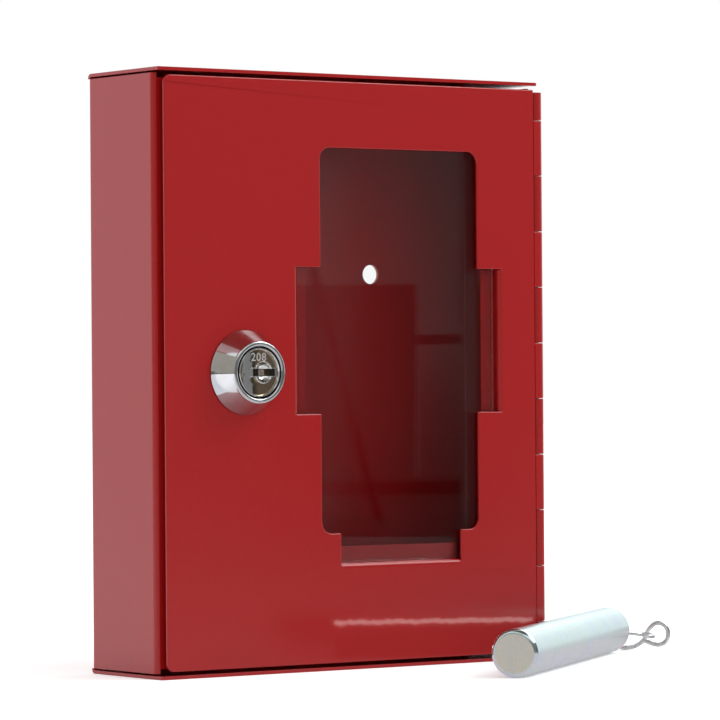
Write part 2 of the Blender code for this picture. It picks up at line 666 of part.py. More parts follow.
def make_shutter():
    front = PLUG_FRONT + SHUTTER_SETBACK
    half_height = KEYWAY_WIDTH / 2 - FIT_GAP
    return box("dust_shutter", (KEY_X - SHUTTER_LENGTH / 2, front, LOCK_Z - half_height),
               (KEY_X + SHUTTER_LENGTH / 2, front + SHUTTER_THICKNESS, LOCK_Z + half_height), PARTS, BRASS)


def make_wafers():
    """Four wafers, each with a window for the key and an ear for its spring."""
    half_x, half_z = KEYWAY_LENGTH / 2 + FIT_GAP, KEYWAY_WIDTH / 2 + FIT_GAP
    ear_x = LOCK_X + WAFER_EAR_PLACE
    wafers = []
    for index, y in enumerate(wafer_places()):
        back = y + WAFER_THICKNESS
        wafer = box(f"lock_wafer_{index + 1}", (LOCK_X - WAFER_LENGTH / 2, y, LOCK_Z - WAFER_HEIGHT / 2),
                    (LOCK_X + WAFER_LENGTH / 2, back, LOCK_Z + WAFER_HEIGHT / 2), PARTS, BRASS)
        join(wafer, box(f"wafer_ear_{index}", (ear_x, y, LOCK_Z + WAFER_HEIGHT / 4),
                        (ear_x + WAFER_EAR_LENGTH, back, LOCK_Z + WAFER_HEIGHT / 2 + WAFER_EAR_HEIGHT)))
        cut(wafer, box(f"wafer_window_{index}", (KEY_X - half_x, y - OVERRUN, LOCK_Z - half_z),
                       (KEY_X + half_x, y + OVERRUN, LOCK_Z + half_z)))
        wafers.append(wafer)
    return wafers


def make_springs():
    """Small coil springs that push the wafers' ears."""
    start = LOCK_X - SPRING_SLOT_HALF + FIT_GAP + SPRING_WIRE_RADIUS
    end = LOCK_X + WAFER_EAR_PLACE - FIT_GAP - SPRING_WIRE_RADIUS
    z = LOCK_Z + WAFER_HEIGHT / 2 + FIT_GAP + SPRING_RADIUS + SPRING_WIRE_RADIUS
    count = SPRING_TURNS * SPRING_TURN_POINTS
    springs = []
    for index, y in enumerate(wafer_places()):
        points = []
        for step in range(count + 1):
            angle = 2 * math.pi * step / SPRING_TURN_POINTS
            points.append((start + (end - start) * step / count,
                           y + WAFER_THICKNESS / 2 + SPRING_RADIUS * math.cos(angle),
                           z + SPRING_RADIUS * math.sin(angle)))
        springs.append(wire(f"wafer_spring_{index + 1}", points, SPRING_WIRE_RADIUS, PARTS, SPRING_STEEL, 1))
    return springs


def make_lock_washer():
    front, back = WASHER_FRONT, WASHER_FRONT + WASHER_THICKNESS
    bore = BARREL_RADIUS + FIT_GAP
    profile = [(bore, front), (WASHER_RADIUS, front), (WASHER_RADIUS, back), (bore, back)]
    return turned("lock_washer", profile, PARTS, SPRING_STEEL)


def make_nut():
    corners = [(LOCK_X + NUT_CORNER_RADIUS * math.cos(math.radians(60.0 * side)),
                LOCK_Z + NUT_CORNER_RADIUS * math.sin(math.radians(60.0 * side))) for side in range(6)]
    nut = plate("lock_nut", corners, NUT_FRONT, NUT_FRONT + NUT_THICKNESS, PARTS, ZINC_STEEL)
    bevel(nut, NUT_CHAMFER, 1)
    nut_back = NUT_FRONT + NUT_THICKNESS
    cut(nut, rod("nut_bore", (LOCK_X, NUT_FRONT - OVERRUN, LOCK_Z), (LOCK_X, nut_back + OVERRUN, LOCK_Z),
                 BARREL_RADIUS + FIT_GAP, ROUND_SIDES))
    return nut


def make_cam():
    """Cranked latch, drawn hanging down: a bent strip in side view, with a square hole for the tenon."""
    top = LOCK_Z + CAM_TAIL
    path = [Vector((CAM_FRONT, top)), Vector((CAM_FRONT, LOCK_Z - CAM_CRANK_START)),
            Vector((CAM_TIP_FRONT, LOCK_Z - CAM_CRANK_END)), Vector((CAM_TIP_FRONT, LOCK_Z - CAM_REACH))]
    path.reverse()
    half = CAM_WIDTH / 2
    cam = sheet_strip("lock_cam", path, LOCK_X - half, LOCK_X + half, False, PARTS, ZINC_STEEL)
    cam.modifiers["sheet"].thickness = CAM_THICKNESS
    outline = rounded_outline([
        (LOCK_X - half, LOCK_Z - CAM_REACH, CAM_CORNER), (LOCK_X + half, LOCK_Z - CAM_REACH, CAM_CORNER),
        (LOCK_X + half, top, half - CAM_CORNER), (LOCK_X - half, top, half - CAM_CORNER)])
    blank = plate("cam_blank", outline, CAM_TIP_FRONT - OVERRUN, CAM_BACK + OVERRUN)
    combine(cam, blank, "INTERSECT")
    hole = TENON_SIZE / 2 + FIT_GAP
    cut(cam, box("cam_square", (LOCK_X - hole, CAM_FRONT - OVERRUN, LOCK_Z - hole),
                 (LOCK_X + hole, CAM_BACK + OVERRUN, LOCK_Z + hole)))
    return cam


def make_cam_washer():
    bore = SCREW_SHANK_RADIUS + FIT_GAP
    return turned("cam_washer", [
        (bore, CAM_WASHER_FRONT), (CAM_WASHER_RADIUS, CAM_WASHER_FRONT),
        (CAM_WASHER_RADIUS, CAM_WASHER_BACK), (bore, CAM_WASHER_BACK)], PARTS, SPRING_STEEL, SMALL_SIDES)


def make_cam_screw():
    crown = SCREW_HEAD_HEIGHT / 3
    shank_front = SCREW_HEAD_FRONT - SCREW_SHANK_LENGTH
    screw = turned("cam_screw", [
        (0.0, shank_front), (SCREW_SHANK_RADIUS, shank_front), (SCREW_SHANK_RADIUS, SCREW_HEAD_FRONT),
        (SCREW_HEAD_RADIUS, SCREW_HEAD_FRONT), (SCREW_HEAD_RADIUS, SCREW_HEAD_BACK - crown),
        (SCREW_HEAD_RADIUS - crown, SCREW_HEAD_BACK), (0.0, SCREW_HEAD_BACK)],
        PARTS, ZINC_STEEL, SMALL_SIDES)
    for name, half_x, half_z in (("screw_slot_wide", SCREW_HEAD_RADIUS * 2 / 3, SCREW_SLOT / 2),
                                 ("screw_slot_tall", SCREW_SLOT / 2, SCREW_HEAD_RADIUS * 2 / 3)):
        cut(screw, box(name, (LOCK_X - half_x, SCREW_HEAD_BACK - SCREW_SLOT_DEPTH, LOCK_Z - half_z),
                       (LOCK_X + half_x, SCREW_HEAD_BACK + OVERRUN, LOCK_Z + half_z)))
    return screw


STRIKER_AXIS = Vector((math.sin(STRIKER_AZIMUTH), math.cos(STRIKER_AZIMUTH), 0.0))
STRIKER_START = Vector((AXIS_X - STRIKER_BESIDE_HINGE, FRONT - STRIKER_AHEAD, STRIKER_RADIUS))
STRIKER_END = STRIKER_START + STRIKER_AXIS * STRIKER_LENGTH


def make_striker():
    striker = rod("hammer_body", STRIKER_START, STRIKER_END, STRIKER_RADIUS, ROUND_SIDES,
                  PARTS, STRIKER_ZINC)
    bevel(striker, STRIKER_CHAMFER, 1)
    cut(striker, rod("eye_hole", STRIKER_END - STRIKER_AXIS * EYE_HOLE_DEPTH,
                     STRIKER_END + STRIKER_AXIS * OVERRUN, EYE_HOLE_RADIUS, SMALL_SIDES))
    return striker


def eye_frame():
    """Start of the bent stretch, its direction, and the direction in which the two strands lie apart."""
    along = Vector((math.sin(EYE_AZIMUTH), math.cos(EYE_AZIMUTH), -EYE_DROP / EYE_REACH)).normalized()
    across = Vector((-math.cos(EYE_AZIMUTH), math.sin(EYE_AZIMUTH), 0.0))
    across = (across * math.cos(EYE_TILT) + Vector((0.0, 0.0, math.sin(EYE_TILT)))).normalized()
    return along, across


def eye_lobe():
    """Middle of the rounded opening at the eye's free end."""
    along, _ = eye_frame()
    return STRIKER_END + STRIKER_AXIS * EYE_BEND + along * (EYE_REACH - EYE_LOOP_HALF)


def make_eye():
    """Wire loop pressed into the end of the striker, its free end bent aside and opened to a round."""
    along, across = eye_frame()
    side = Vector((-math.cos(STRIKER_AZIMUTH), math.sin(STRIKER_AZIMUTH), 0.0))
    knee = STRIKER_END + STRIKER_AXIS * EYE_BEND
    lobe = eye_lobe()
    pinch = lobe - along * (EYE_LOOP_HALF + EYE_STRAND_HALF)
    strands = []
    for sign in (1.0, -1.0):
        half = sign * EYE_STRAND_HALF
        strands.append([STRIKER_END - STRIKER_AXIS * EYE_SEAT + side * half,
                        STRIKER_END + STRIKER_AXIS * EYE_WIRE_RADIUS + side * half,
                        knee + (side + across).normalized() * half,
                        pinch + across * half])
    loop = []
    steps = SMALL_SIDES // 2
    for step in range(steps + 1):
        angle = EYE_LOOP_SPAN * (1 / 2 - step / steps)
        loop.append(lobe + (along * math.cos(angle) + across * math.sin(angle)) * EYE_LOOP_HALF)
    return wire("hammer_eye", strands[0] + loop + strands[1][::-1], EYE_WIRE_RADIUS, PARTS, ZINC_STEEL)


def make_link():
    """Open wire link: a round ring through the eye, and a tail that ends in a small curl on the floor."""
    lobe = eye_lobe()
    right = Vector((math.cos(LINK_AZIMUTH), -math.sin(LINK_AZIMUTH), 0.0))
    away = Vector((math.sin(LINK_AZIMUTH), math.cos(LINK_AZIMUTH), 0.0))
    up = Vector((0.0, 0.0, 1.0))
    foot = Vector((lobe.x, lobe.y, LINK_WIRE_RADIUS + FIT_GAP / 3))
    centre = foot + right * LINK_RING_OFFSET + up * (LINK_HALF_HEIGHT + LINK_RISE)
    points = []
    for step in range(LINK_RING_STEPS + 1):
        angle = LINK_RING_START + LINK_RING_SPAN * step / LINK_RING_STEPS
        points.append(centre + right * (LINK_HALF_WIDTH * math.cos(angle))
                      + up * (LINK_HALF_HEIGHT * math.sin(angle)))
    for sideways, deeper, height in LINK_TAIL_SHARES:
        points.append(foot + (right * sideways + away * deeper) * LINK_HALF_WIDTH
                      + up * (height * 2 * LINK_HALF_HEIGHT))
    return wire("hammer_link", points, LINK_WIRE_RADIUS, PARTS, LINK_ZINC)


def hang(name, place_at, pieces):
    """Empty on a joint's axis, which carries its moving pieces and their cutters."""
    empty = bpy.data.objects.new(name, None)
    empty.empty_display_type = "ARROWS"
    empty.empty_display_size = PLUG_RADIUS
    empty.location = place_at
    PARTS.objects.link(empty)
    bpy.context.view_layer.update()
    waiting = list(pieces)
    while waiting:
        piece = waiting.pop()
        piece.parent = empty
        piece.matrix_parent_inverse = empty.matrix_world.inverted()
        waiting += [modifier.object for modifier in piece.modifiers if modifier.type == "BOOLEAN"]
    return empty


def build():
    make_shell()
    make_pin()
    door = make_door()
    glass = make_glass()
    fixed_lock = [make_housing(), make_lock_washer(), make_nut()]
    turning_lock = [make_plug(), make_shutter(), make_cam(), make_cam_washer(), make_cam_screw()]
    turning_lock += make_wafers() + make_springs()

    door_axis = hang("door_axis", (AXIS_X, AXIS_Y, HEIGHT / 2), [door] + fixed_lock)
    lock_axis = hang("lock_axis", (LOCK_X, HEAD_BACK, LOCK_Z), turning_lock)
    glass_path = hang("glass_path", (WINDOW_X, GLASS_FRONT, CHANNEL_FLOOR), [glass])
    striker_place = hang("striker_place", STRIKER_START, [make_striker(), make_eye()])
    link_pivot = hang("link_pivot", eye_lobe(), [make_link()])
    for child, parent in ((lock_axis, door_axis), (glass_path, door_axis), (link_pivot, striker_place)):
        child.parent = parent
        child.matrix_parent_inverse = parent.matrix_world.inverted()


build()
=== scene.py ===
# %% [markdown]
# # Emergency key cabinet
# A small red box of folded sheet steel holds one key behind a pane of glass. A chromed cam lock
# opens the door in daily use, and a plated steel striker lies beside the box for the day when
# somebody has to break the pane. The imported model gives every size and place. This lesson folds
# the sheets again with real bends, turns the lock and the striker finely, and gives each finish
# its own nodes.

# %% Load the frame
import math
from functools import partial

import bmesh
import bpy
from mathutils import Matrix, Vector


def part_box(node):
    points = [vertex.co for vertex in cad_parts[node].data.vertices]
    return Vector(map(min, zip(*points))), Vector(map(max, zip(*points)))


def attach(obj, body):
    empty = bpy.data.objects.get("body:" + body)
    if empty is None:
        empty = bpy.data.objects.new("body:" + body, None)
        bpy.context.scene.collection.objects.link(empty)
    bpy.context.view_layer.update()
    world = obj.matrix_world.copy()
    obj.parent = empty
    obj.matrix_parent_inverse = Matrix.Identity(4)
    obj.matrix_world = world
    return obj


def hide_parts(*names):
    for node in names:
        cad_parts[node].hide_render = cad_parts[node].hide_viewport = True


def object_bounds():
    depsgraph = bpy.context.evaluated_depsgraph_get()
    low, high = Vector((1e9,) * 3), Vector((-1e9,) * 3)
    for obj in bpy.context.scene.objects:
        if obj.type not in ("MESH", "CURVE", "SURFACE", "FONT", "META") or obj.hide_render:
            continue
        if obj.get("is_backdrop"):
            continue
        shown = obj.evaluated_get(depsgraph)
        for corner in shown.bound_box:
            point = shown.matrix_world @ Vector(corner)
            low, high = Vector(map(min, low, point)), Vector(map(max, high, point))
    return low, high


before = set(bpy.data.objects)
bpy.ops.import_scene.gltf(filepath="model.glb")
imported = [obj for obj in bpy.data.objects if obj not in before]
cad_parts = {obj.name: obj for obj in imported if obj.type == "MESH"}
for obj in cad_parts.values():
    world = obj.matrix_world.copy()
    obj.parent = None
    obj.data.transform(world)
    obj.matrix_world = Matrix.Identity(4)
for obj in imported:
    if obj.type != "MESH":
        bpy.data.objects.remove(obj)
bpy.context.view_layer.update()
print("nodes in the frame:", len(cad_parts))

# %% [markdown]
# ## Places, read from the frame
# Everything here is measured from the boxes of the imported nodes, so a piece lands where its node
# is. Only what a box can't tell, such as the thickness of the sheet, is a value of its own.

# %% Places and sizes
MM = 0.001
SHEET = 0.85 * MM
BEND_IN = 0.4 * MM
BEND_OUT = BEND_IN + SHEET
CUT_PAST = 2.0 * MM
WELL_PAST = 12.0 * MM
RUNNING_GAP = 0.06 * MM
ALONG_Y = (math.pi / 2, 0.0, 0.0)

shell_low, shell_high = map(Vector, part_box("cabinet_shell"))
door_low, door_high = map(Vector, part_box("door_panel"))
pin_low, pin_high = map(Vector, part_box("hinge_pin"))
pane_low, pane_high = map(Vector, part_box("glass_pane"))
head_low, head_high = map(Vector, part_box("lock_housing"))
plug_low, plug_high = map(Vector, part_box("lock_plug"))

LEFT, RIGHT = shell_low.x, -shell_low.x
FRONT, BACK, HEIGHT = shell_low.y, shell_high.y, shell_high.z
HINGE_X, HINGE_Y = (pin_low.x + pin_high.x) / 2, (pin_low.y + pin_high.y) / 2
KNUCKLE_R = shell_high.x - HINGE_X
PIN_R = (pin_high.x - pin_low.x) / 2
LOCK_X, LOCK_Z = (head_low.x + head_high.x) / 2, (head_low.z + head_high.z) / 2
DOOR_LEFT, DOOR_LOW, DOOR_HIGH = door_low.x, door_low.z, door_high.z
DOOR_BACK = FRONT + SHEET
WALL_LOW = SHEET + 0.5 * MM
WALL_HIGH = HEIGHT - WALL_LOW
LIP_FRONT = FRONT + 2.5 * MM
print(f"cabinet {RIGHT - LEFT:.4f} x {BACK - FRONT:.4f} x {HEIGHT:.4f} m, hinge at {HINGE_X:.4f}")

# %% [markdown]
# ## The camera
# The photograph looks at the box from its left front, at the height of its middle, through a long
# lens. A camera was fitted to the box's corners, and these are its place, its turn and its lens.

# %% Camera
CAMERA_PLACE = (-619.37 * MM, -875.66 * MM, 74.10 * MM)
CAMERA_TURN = math.radians(-35.839)
CAMERA_TILT = math.radians(90.21)
CAMERA_ROLL = math.radians(-0.408)
CAMERA_LENS = 210.0

bpy.ops.object.select_all(action="DESELECT")
bpy.ops.object.camera_add(location=CAMERA_PLACE)
camera = bpy.context.active_object
camera.name = "camera"
camera.rotation_euler = (CAMERA_TILT, 0.0, CAMERA_TURN)
camera.rotation_euler.rotate_axis("Z", CAMERA_ROLL)
camera.data.lens = CAMERA_LENS
camera.data.sensor_width = 36.0
camera.data.clip_start = 10.0 * MM
camera.data.clip_end = 100.0
bpy.context.scene.camera = camera
print("camera at", tuple(round(value, 3) for value in camera.location))

# %% [markdown]
# ## Hands for the bench
# A few helpers do what a person does with the mouse: select by place, apply a modifier, cut with
# a block. Each one leaves the finished object at the origin with its place in its mesh.

# %% Helpers for selecting and finishing
WELD = 0.002 * MM
ROUND_ABOVE = math.radians(35.0)
MERGE_BELOW = math.radians(0.3)
SMOOTH_BELOW = math.radians(40.0)
FLAT_BREAK = (math.radians(0.5), math.radians(20.0))
BOX_EDGE, DOOR_EDGE, TAB_EDGE = 0.22 * MM, 0.28 * MM, 0.15 * MM
WIRE_EDGE, PANE_EDGE, STRIKER_EDGE = 0.15 * MM, 0.12 * MM, 0.12 * MM
HOUSING_EDGE, PLUG_EDGE, FLAP_EDGE, WAFER_EDGE = 0.06 * MM, 0.04 * MM, 0.08 * MM, 0.05 * MM
NUT_EDGE, CAM_EDGE, SCREW_EDGE = 0.10 * MM, 0.10 * MM, 0.05 * MM
LARGE_FACE = 400.0 * MM * MM


def take(piece):
    """Only this piece is selected and active."""
    bpy.ops.object.select_all(action="DESELECT")
    piece.select_set(True)
    bpy.context.view_layer.objects.active = piece


def settle(name):
    """Names the new primitive and puts its place, turn and scale into its mesh."""
    piece = bpy.context.active_object
    piece.name = name
    piece.data.name = name
    take(piece)
    bpy.ops.object.transform_apply(location=True, rotation=True, scale=True)
    return piece


def pick(piece, kind, test):
    """In edit mode, selects the vertices, edges or faces whose middle passes the test."""
    bpy.ops.mesh.select_mode(type=kind)
    bpy.ops.mesh.select_all(action="DESELECT")
    mesh = bmesh.from_edit_mesh(piece.data)
    for item in {"VERT": mesh.verts, "EDGE": mesh.edges, "FACE": mesh.faces}[kind]:
        corners = [item] if kind == "VERT" else item.verts
        if test(sum((corner.co for corner in corners), Vector()) / len(corners)):
            item.select_set(True)
    bmesh.update_edit_mesh(piece.data)


def edit(piece):
    take(piece)
    bpy.ops.object.mode_set(mode="EDIT")
    bpy.ops.mesh.select_all(action="SELECT")


def done():
    bpy.ops.object.mode_set(mode="OBJECT")


def close_up(piece, threshold=WELD):
    """Welds doubled corners and turns every face outward."""
    edit(piece)
    bpy.ops.mesh.remove_doubles(threshold=threshold)
    bpy.ops.mesh.normals_make_consistent(inside=False)
    done()


def modify(piece, kind, **settings):
    """Adds a modifier, sets it and applies it."""
    modifier = piece.modifiers.new(kind.title(), kind)
    for key, value in settings.items():
        setattr(modifier, key, value)
    take(piece)
    bpy.ops.object.modifier_apply(modifier=modifier.name)


def carve(piece, cutter, operation="DIFFERENCE"):
    modify(piece, "BOOLEAN", operation=operation, solver="EXACT", object=cutter)
    bpy.data.objects.remove(cutter, do_unlink=True)


def round_edges(piece, width, segments=2, clamp=True):
    """Rounds the sharp edges a little. The clamp narrows them all to suit the shortest."""
    edit(piece)
    bpy.ops.mesh.remove_doubles(threshold=WELD)
    bpy.ops.mesh.dissolve_limited(angle_limit=MERGE_BELOW)
    done()
    modify(piece, "BEVEL", width=width, segments=segments, limit_method="ANGLE",
           angle_limit=ROUND_ABOVE, use_clamp_overlap=clamp)


def keep_flat(piece, least_area):
    """A large face keeps its own normal up to where its rounded edge or a bend starts."""
    edit(piece)
    mesh = bmesh.from_edit_mesh(piece.data)
    for edge in mesh.edges:
        if len(edge.link_faces) == 2 and max(face.calc_area() for face in edge.link_faces) > least_area:
            if FLAT_BREAK[0] < edge.calc_face_angle() < FLAT_BREAK[1]:
                edge.smooth = False
    bmesh.update_edit_mesh(piece.data)
    done()


def shade(piece, flat_area=None):
    """What is round is shaded as round."""
    take(piece)
    bpy.ops.object.shade_smooth_by_angle(angle=SMOOTH_BELOW)
    if flat_area is not None:
        keep_flat(piece, flat_area)
    modify(piece, "WEIGHTED_NORMAL", keep_sharp=True, weight=100)


def soften(piece, width, segments=2):
    round_edges(piece, width, segments)
    shade(piece)


def finish_piece(piece, body, slot, material, *nodes):
    """Gives the piece its body, the nodes that it stands for and its material. The slot is not used."""
    piece.data.materials.clear()
    piece.data.materials.append(material)
    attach(piece, body)
    if nodes:
        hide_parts(*nodes)
    print(f"{piece.name}: {len(piece.data.polygons)} faces, rides on {body}")


print("bench ready, sheet", round(SHEET / MM, 2), "mm")

# %% [markdown]
# ## Shader groups
# Powder coat runs together as it cures and leaves fine waves, which the trade calls orange peel.
# Plating has a faint grain, and turned steel keeps the lines of its tool. Each effect is one node
# group, so that every finish that needs it can use its own strength.

# %% Helpers for nodes


def wire_up(*pairs):
    for source, target in pairs:
        source.id_data.links.new(source, target)


def maths(operation, *values):
    """Math node in the tree of its first socket. Its inputs are sockets or numbers."""
    tree = next(value.id_data for value in values if isinstance(value, bpy.types.NodeSocket))
    node = tree.nodes.new("ShaderNodeMath")
    node.operation = operation
    for socket, value in zip(node.inputs, values):
        if isinstance(value, bpy.types.NodeSocket):
            wire_up((value, socket))
        else:
            socket.default_value = value
    return node.outputs[0]


times, plus, minus = (partial(maths, kind) for kind in ("MULTIPLY", "ADD", "SUBTRACT"))
most, least, below = (partial(maths, kind) for kind in ("MAXIMUM", "MINIMUM", "LESS_THAN"))


def near(value, middle, reach):
    """1 where the value lies within reach of the middle, and 0 elsewhere."""
    return below(maths("ABSOLUTE", minus(value, middle)), reach)


def vector_maths(operation, vector, constant=None):
    """Vector Math node. A dot product and a length come out as numbers."""
    node = vector.id_data.nodes.new("ShaderNodeVectorMath")
    node.operation = operation
    if constant is not None:
        node.inputs[1].default_value = constant
    wire_up((vector, node.inputs[0]))
    return node.outputs["Value" if operation in ("DOT_PRODUCT", "LENGTH") else "Vector"]


def object_places(tree):
    return tree.nodes.new("ShaderNodeTexCoord").outputs["Object"]


def split_places(tree):
    node = tree.nodes.new("ShaderNodeSeparateXYZ")
    wire_up((object_places(tree), node.inputs[0]))
    return node.outputs


def noise(tree, per_metre, detail, roughness=0.5):
    node = tree.nodes.new("ShaderNodeTexNoise")
    node.inputs["Detail"].default_value = detail
    node.inputs["Roughness"].default_value = roughness
    wire_up((object_places(tree), node.inputs["Vector"]), (per_metre, node.inputs["Scale"]))
    return node.outputs["Fac"]


def new_group(name, inputs, outputs):
    """Node group with float inputs as (name, value), and float outputs."""
    group = bpy.data.node_groups.new(name, "ShaderNodeTree")
    for label, value in inputs:
        socket = group.interface.new_socket(label, in_out="INPUT", socket_type="NodeSocketFloat")
        socket.default_value = value
    for label in outputs:
        group.interface.new_socket(label, in_out="OUTPUT", socket_type="NodeSocketFloat")
    given, out = group.nodes.new("NodeGroupInput"), group.nodes.new("NodeGroupOutput")
    return group, given.outputs, out.inputs


def use_group(tree, group, **values):
    node = tree.nodes.new("ShaderNodeGroup")
    node.node_tree = group
    for label, value in values.items():
        node.inputs[label.replace("_", " ")].default_value = value
    return node.outputs


def new_material(name, colour, roughness, metallic=0.0, **sockets):
    """Principled material; constants go straight on to the shader's own sockets."""
    material = bpy.data.materials.new(name)
    material.use_nodes = True
    shader = material.node_tree.nodes["Principled BSDF"]
    shader.inputs["Base Color"].default_value = (*colour, 1.0)
    shader.inputs["Roughness"].default_value = roughness
    shader.inputs["Metallic"].default_value = metallic
    for label, value in sockets.items():
        shader.inputs[label.replace("_", " ")].default_value = value
    return material, material.node_tree, shader.inputs


def bump(shader, height, distance):
    node = height.id_data.nodes.new("ShaderNodeBump")
    node.inputs["Distance"].default_value = distance
    wire_up((height, node.inputs["Height"]), (node.outputs["Normal"], shader["Normal"]))


def spread(mask, low, high):
    """Turns the middle of a noise mask into numbers from low to high."""
    node = mask.id_data.nodes.new("ShaderNodeMapRange")
    for label, value in (("From Min", 0.3), ("From Max", 0.7), ("To Min", low), ("To Max", high)):
        node.inputs[label].default_value = value
    wire_up((mask, node.inputs["Value"]))
    return node.outputs["Result"]


def blend_colours(mask, *stops):
    """Colour ramp over a mask, with stops as (place, colour)."""
    ramp = mask.id_data.nodes.new("ShaderNodeValToRGB")
    elements = ramp.color_ramp.elements
    while len(elements) < len(stops):
        elements.new(0.5)
    for element, (place, colour) in zip(elements, stops):
        element.position = place
        element.color = (*colour, 1.0)
    wire_up((mask, ramp.inputs["Fac"]))
    return ramp.outputs["Color"]


def mix_colours(factor, first, second, blend="MIX"):
    """Mix node for two colours, each a socket or a constant."""
    node = factor.id_data.nodes.new("ShaderNodeMix")
    node.data_type, node.blend_type = "RGBA", blend
    wire_up((factor, node.inputs[0]))
    for socket, colour in ((node.inputs[6], first), (node.inputs[7], second)):
        if isinstance(colour, tuple):
            socket.default_value = (*colour, 1.0)
        else:
            wire_up((colour, socket))
    return node.outputs[2]


def mix_surface(tree, factor, first, second):
    """Mixes two shaders into the material's surface."""
    mix = tree.nodes.new("ShaderNodeMixShader")
    wire_up((factor, mix.inputs[0]), (first, mix.inputs[1]), (second, mix.inputs[2]),
            (mix.outputs["Shader"], tree.nodes["Material Output"].inputs["Surface"]))


print("node helpers ready")

# %% Orange peel of the powder coat


def make_orange_peel():
    """Height of the waves in the paint, and where its gloss is a little duller."""
    group, given, out = new_group(
        "orange_peel", [("Wave Size", 1.4 * MM), ("Depth", 1.0)], ["Height", "Dull"])
    per_metre = maths("DIVIDE", 1.0, given["Wave Size"])
    waves = noise(group, per_metre, 1.5, 0.35)
    speckle = noise(group, times(per_metre, 4.5), 2.0)
    height = times(plus(waves, times(speckle, 0.08)), given["Depth"])
    wire_up((height, out["Height"]), (speckle, out["Dull"]))
    return group


orange_peel = make_orange_peel()
print("group", orange_peel.name)

# %% Grain of plating and rolled metal


def make_plating():
    """Cloudy plating: a soft mask for colour, and a finer one for gloss and height."""
    group, given, out = new_group(
        "plating", [("Cloud Size", 4.0 * MM), ("Grain Size", 0.25 * MM)], ["Clouds", "Grain"])
    for size, label, detail in (("Cloud Size", "Clouds", 4.0), ("Grain Size", "Grain", 2.0)):
        wire_up((noise(group, maths("DIVIDE", 1.0, given[size]), detail), out[label]))
    return group


plating = make_plating()
print("group", plating.name)

# %% [markdown]
# ## Red powder coat
# The paint is a deep signal red with a good gloss. Its colour hardly changes over a sheet, so the
# look comes from the gloss: long soft reflections that the orange peel breaks up a little.

# %% Red powder coat
RED = (0.368, 0.0072, 0.0080)
RED_DARK = (0.346, 0.0060, 0.0068)


def make_red_paint():
    material, tree, shader = new_material("red_powder_coat", RED, 0.22, IOR=1.5)
    peel = use_group(tree, orange_peel, Wave_Size=1.9 * MM, Depth=1.0)
    bump(shader, peel["Height"], 0.035 * MM)
    wire_up((blend_colours(peel["Dull"], (0.35, RED_DARK), (0.65, RED)), shader["Base Color"]),
            (spread(peel["Dull"], 0.19, 0.25), shader["Roughness"]))
    return material


red_paint = make_red_paint()
print("material", red_paint.name)

# %% [markdown]
# ## Plain metals
# Chrome, brass, springs and zinc plate differ in colour and gloss. All have clouds in their colour
# and grain in their gloss, so one recipe makes them.

# %% Metals


def make_metal(name, dark, light, rough_low, rough_high, cloud=4.0 * MM, depth=0.002 * MM):
    material, tree, shader = new_material(name, light, (rough_low + rough_high) / 2, 1.0)
    marks = use_group(tree, plating, Cloud_Size=cloud, Grain_Size=0.25 * MM)
    wire_up((blend_colours(marks["Clouds"], (0.35, dark), (0.65, light)), shader["Base Color"]),
            (spread(marks["Grain"], rough_low, rough_high), shader["Roughness"]))
    bump(shader, marks["Grain"], depth)
    return material


chrome = make_metal("chrome_plate", (0.56, 0.57, 0.58), (0.64, 0.65, 0.67), 0.05, 0.10, depth=0.0006 * MM)
brass = make_metal("brass", (0.42, 0.30, 0.12), (0.55, 0.42, 0.20), 0.22, 0.34)
dull_brown = make_metal("dust_flap_steel", (0.42, 0.31, 0.27), (0.74, 0.62, 0.56), 0.30, 0.45,
                        cloud=0.8 * MM)
spring_steel = make_metal("spring_steel", (0.38, 0.38, 0.39), (0.50, 0.50, 0.51), 0.22, 0.34)
zinc_steel = make_metal("zinc_plated_steel", (0.52, 0.54, 0.55), (0.66, 0.67, 0.66), 0.20, 0.34)
bare_steel = make_metal("bare_steel_pin", (0.42, 0.42, 0.42), (0.52, 0.52, 0.52), 0.28, 0.40)
wire_zinc = make_metal("zinc_plated_wire", (0.56, 0.56, 0.56), (0.80, 0.82, 0.84), 0.20, 0.32,
                       cloud=1.5 * MM)
print("plain metals made")

# %% [markdown]
# ## Nickel of the plug
# The raised rim, ring and figures are rubbed bright by keys and cloths. The sunk face between them
# keeps a brown film, with a paler cloud where it was wiped.

# %% Nickel plug
PLUG_FRONT = plug_low.y
PLUG_FACE = PLUG_FRONT + 0.9 * MM
FIGURE_FACE = PLUG_FRONT + 0.8 * MM
FACE_REACH = 0.03 * MM
FACE_R = 5.55 * MM
FILM_LEFT = LOCK_X - FACE_R
FILM_PER_METRE = 90.0
FILM = ((0.06, (0.42, 0.33, 0.22)), (0.12, (0.92, 0.94, 0.94)), (0.32, (0.84, 0.86, 0.87)),
        (0.36, (0.13, 0.12, 0.10)), (0.43, (0.30, 0.23, 0.15)), (0.52, (0.48, 0.37, 0.25)))


def make_plug_nickel():
    material, tree, shader = new_material("nickel_plug", (0.5, 0.45, 0.4), 0.15, 1.0)
    marks = use_group(tree, plating, Cloud_Size=2.2 * MM, Grain_Size=0.2 * MM)
    places = split_places(tree)
    across = times(minus(places["X"], FILM_LEFT), FILM_PER_METRE)
    film_and_painted_reflection = blend_colours(plus(across, times(minus(marks["Clouds"], 0.5), 0.40)), *FILM)
    colour = mix_colours(near(places["Y"], PLUG_FACE, FACE_REACH), (0.80, 0.80, 0.79), film_and_painted_reflection)
    duller = times(near(places["Y"], FIGURE_FACE, FACE_REACH), 0.35)
    wire_up((colour, shader["Base Color"]),
            (plus(spread(marks["Grain"], 0.10, 0.20), duller), shader["Roughness"]))
    bump(shader, marks["Grain"], 0.001 * MM)
    return material


plug_metal = make_plug_nickel()
print("material", plug_metal.name)
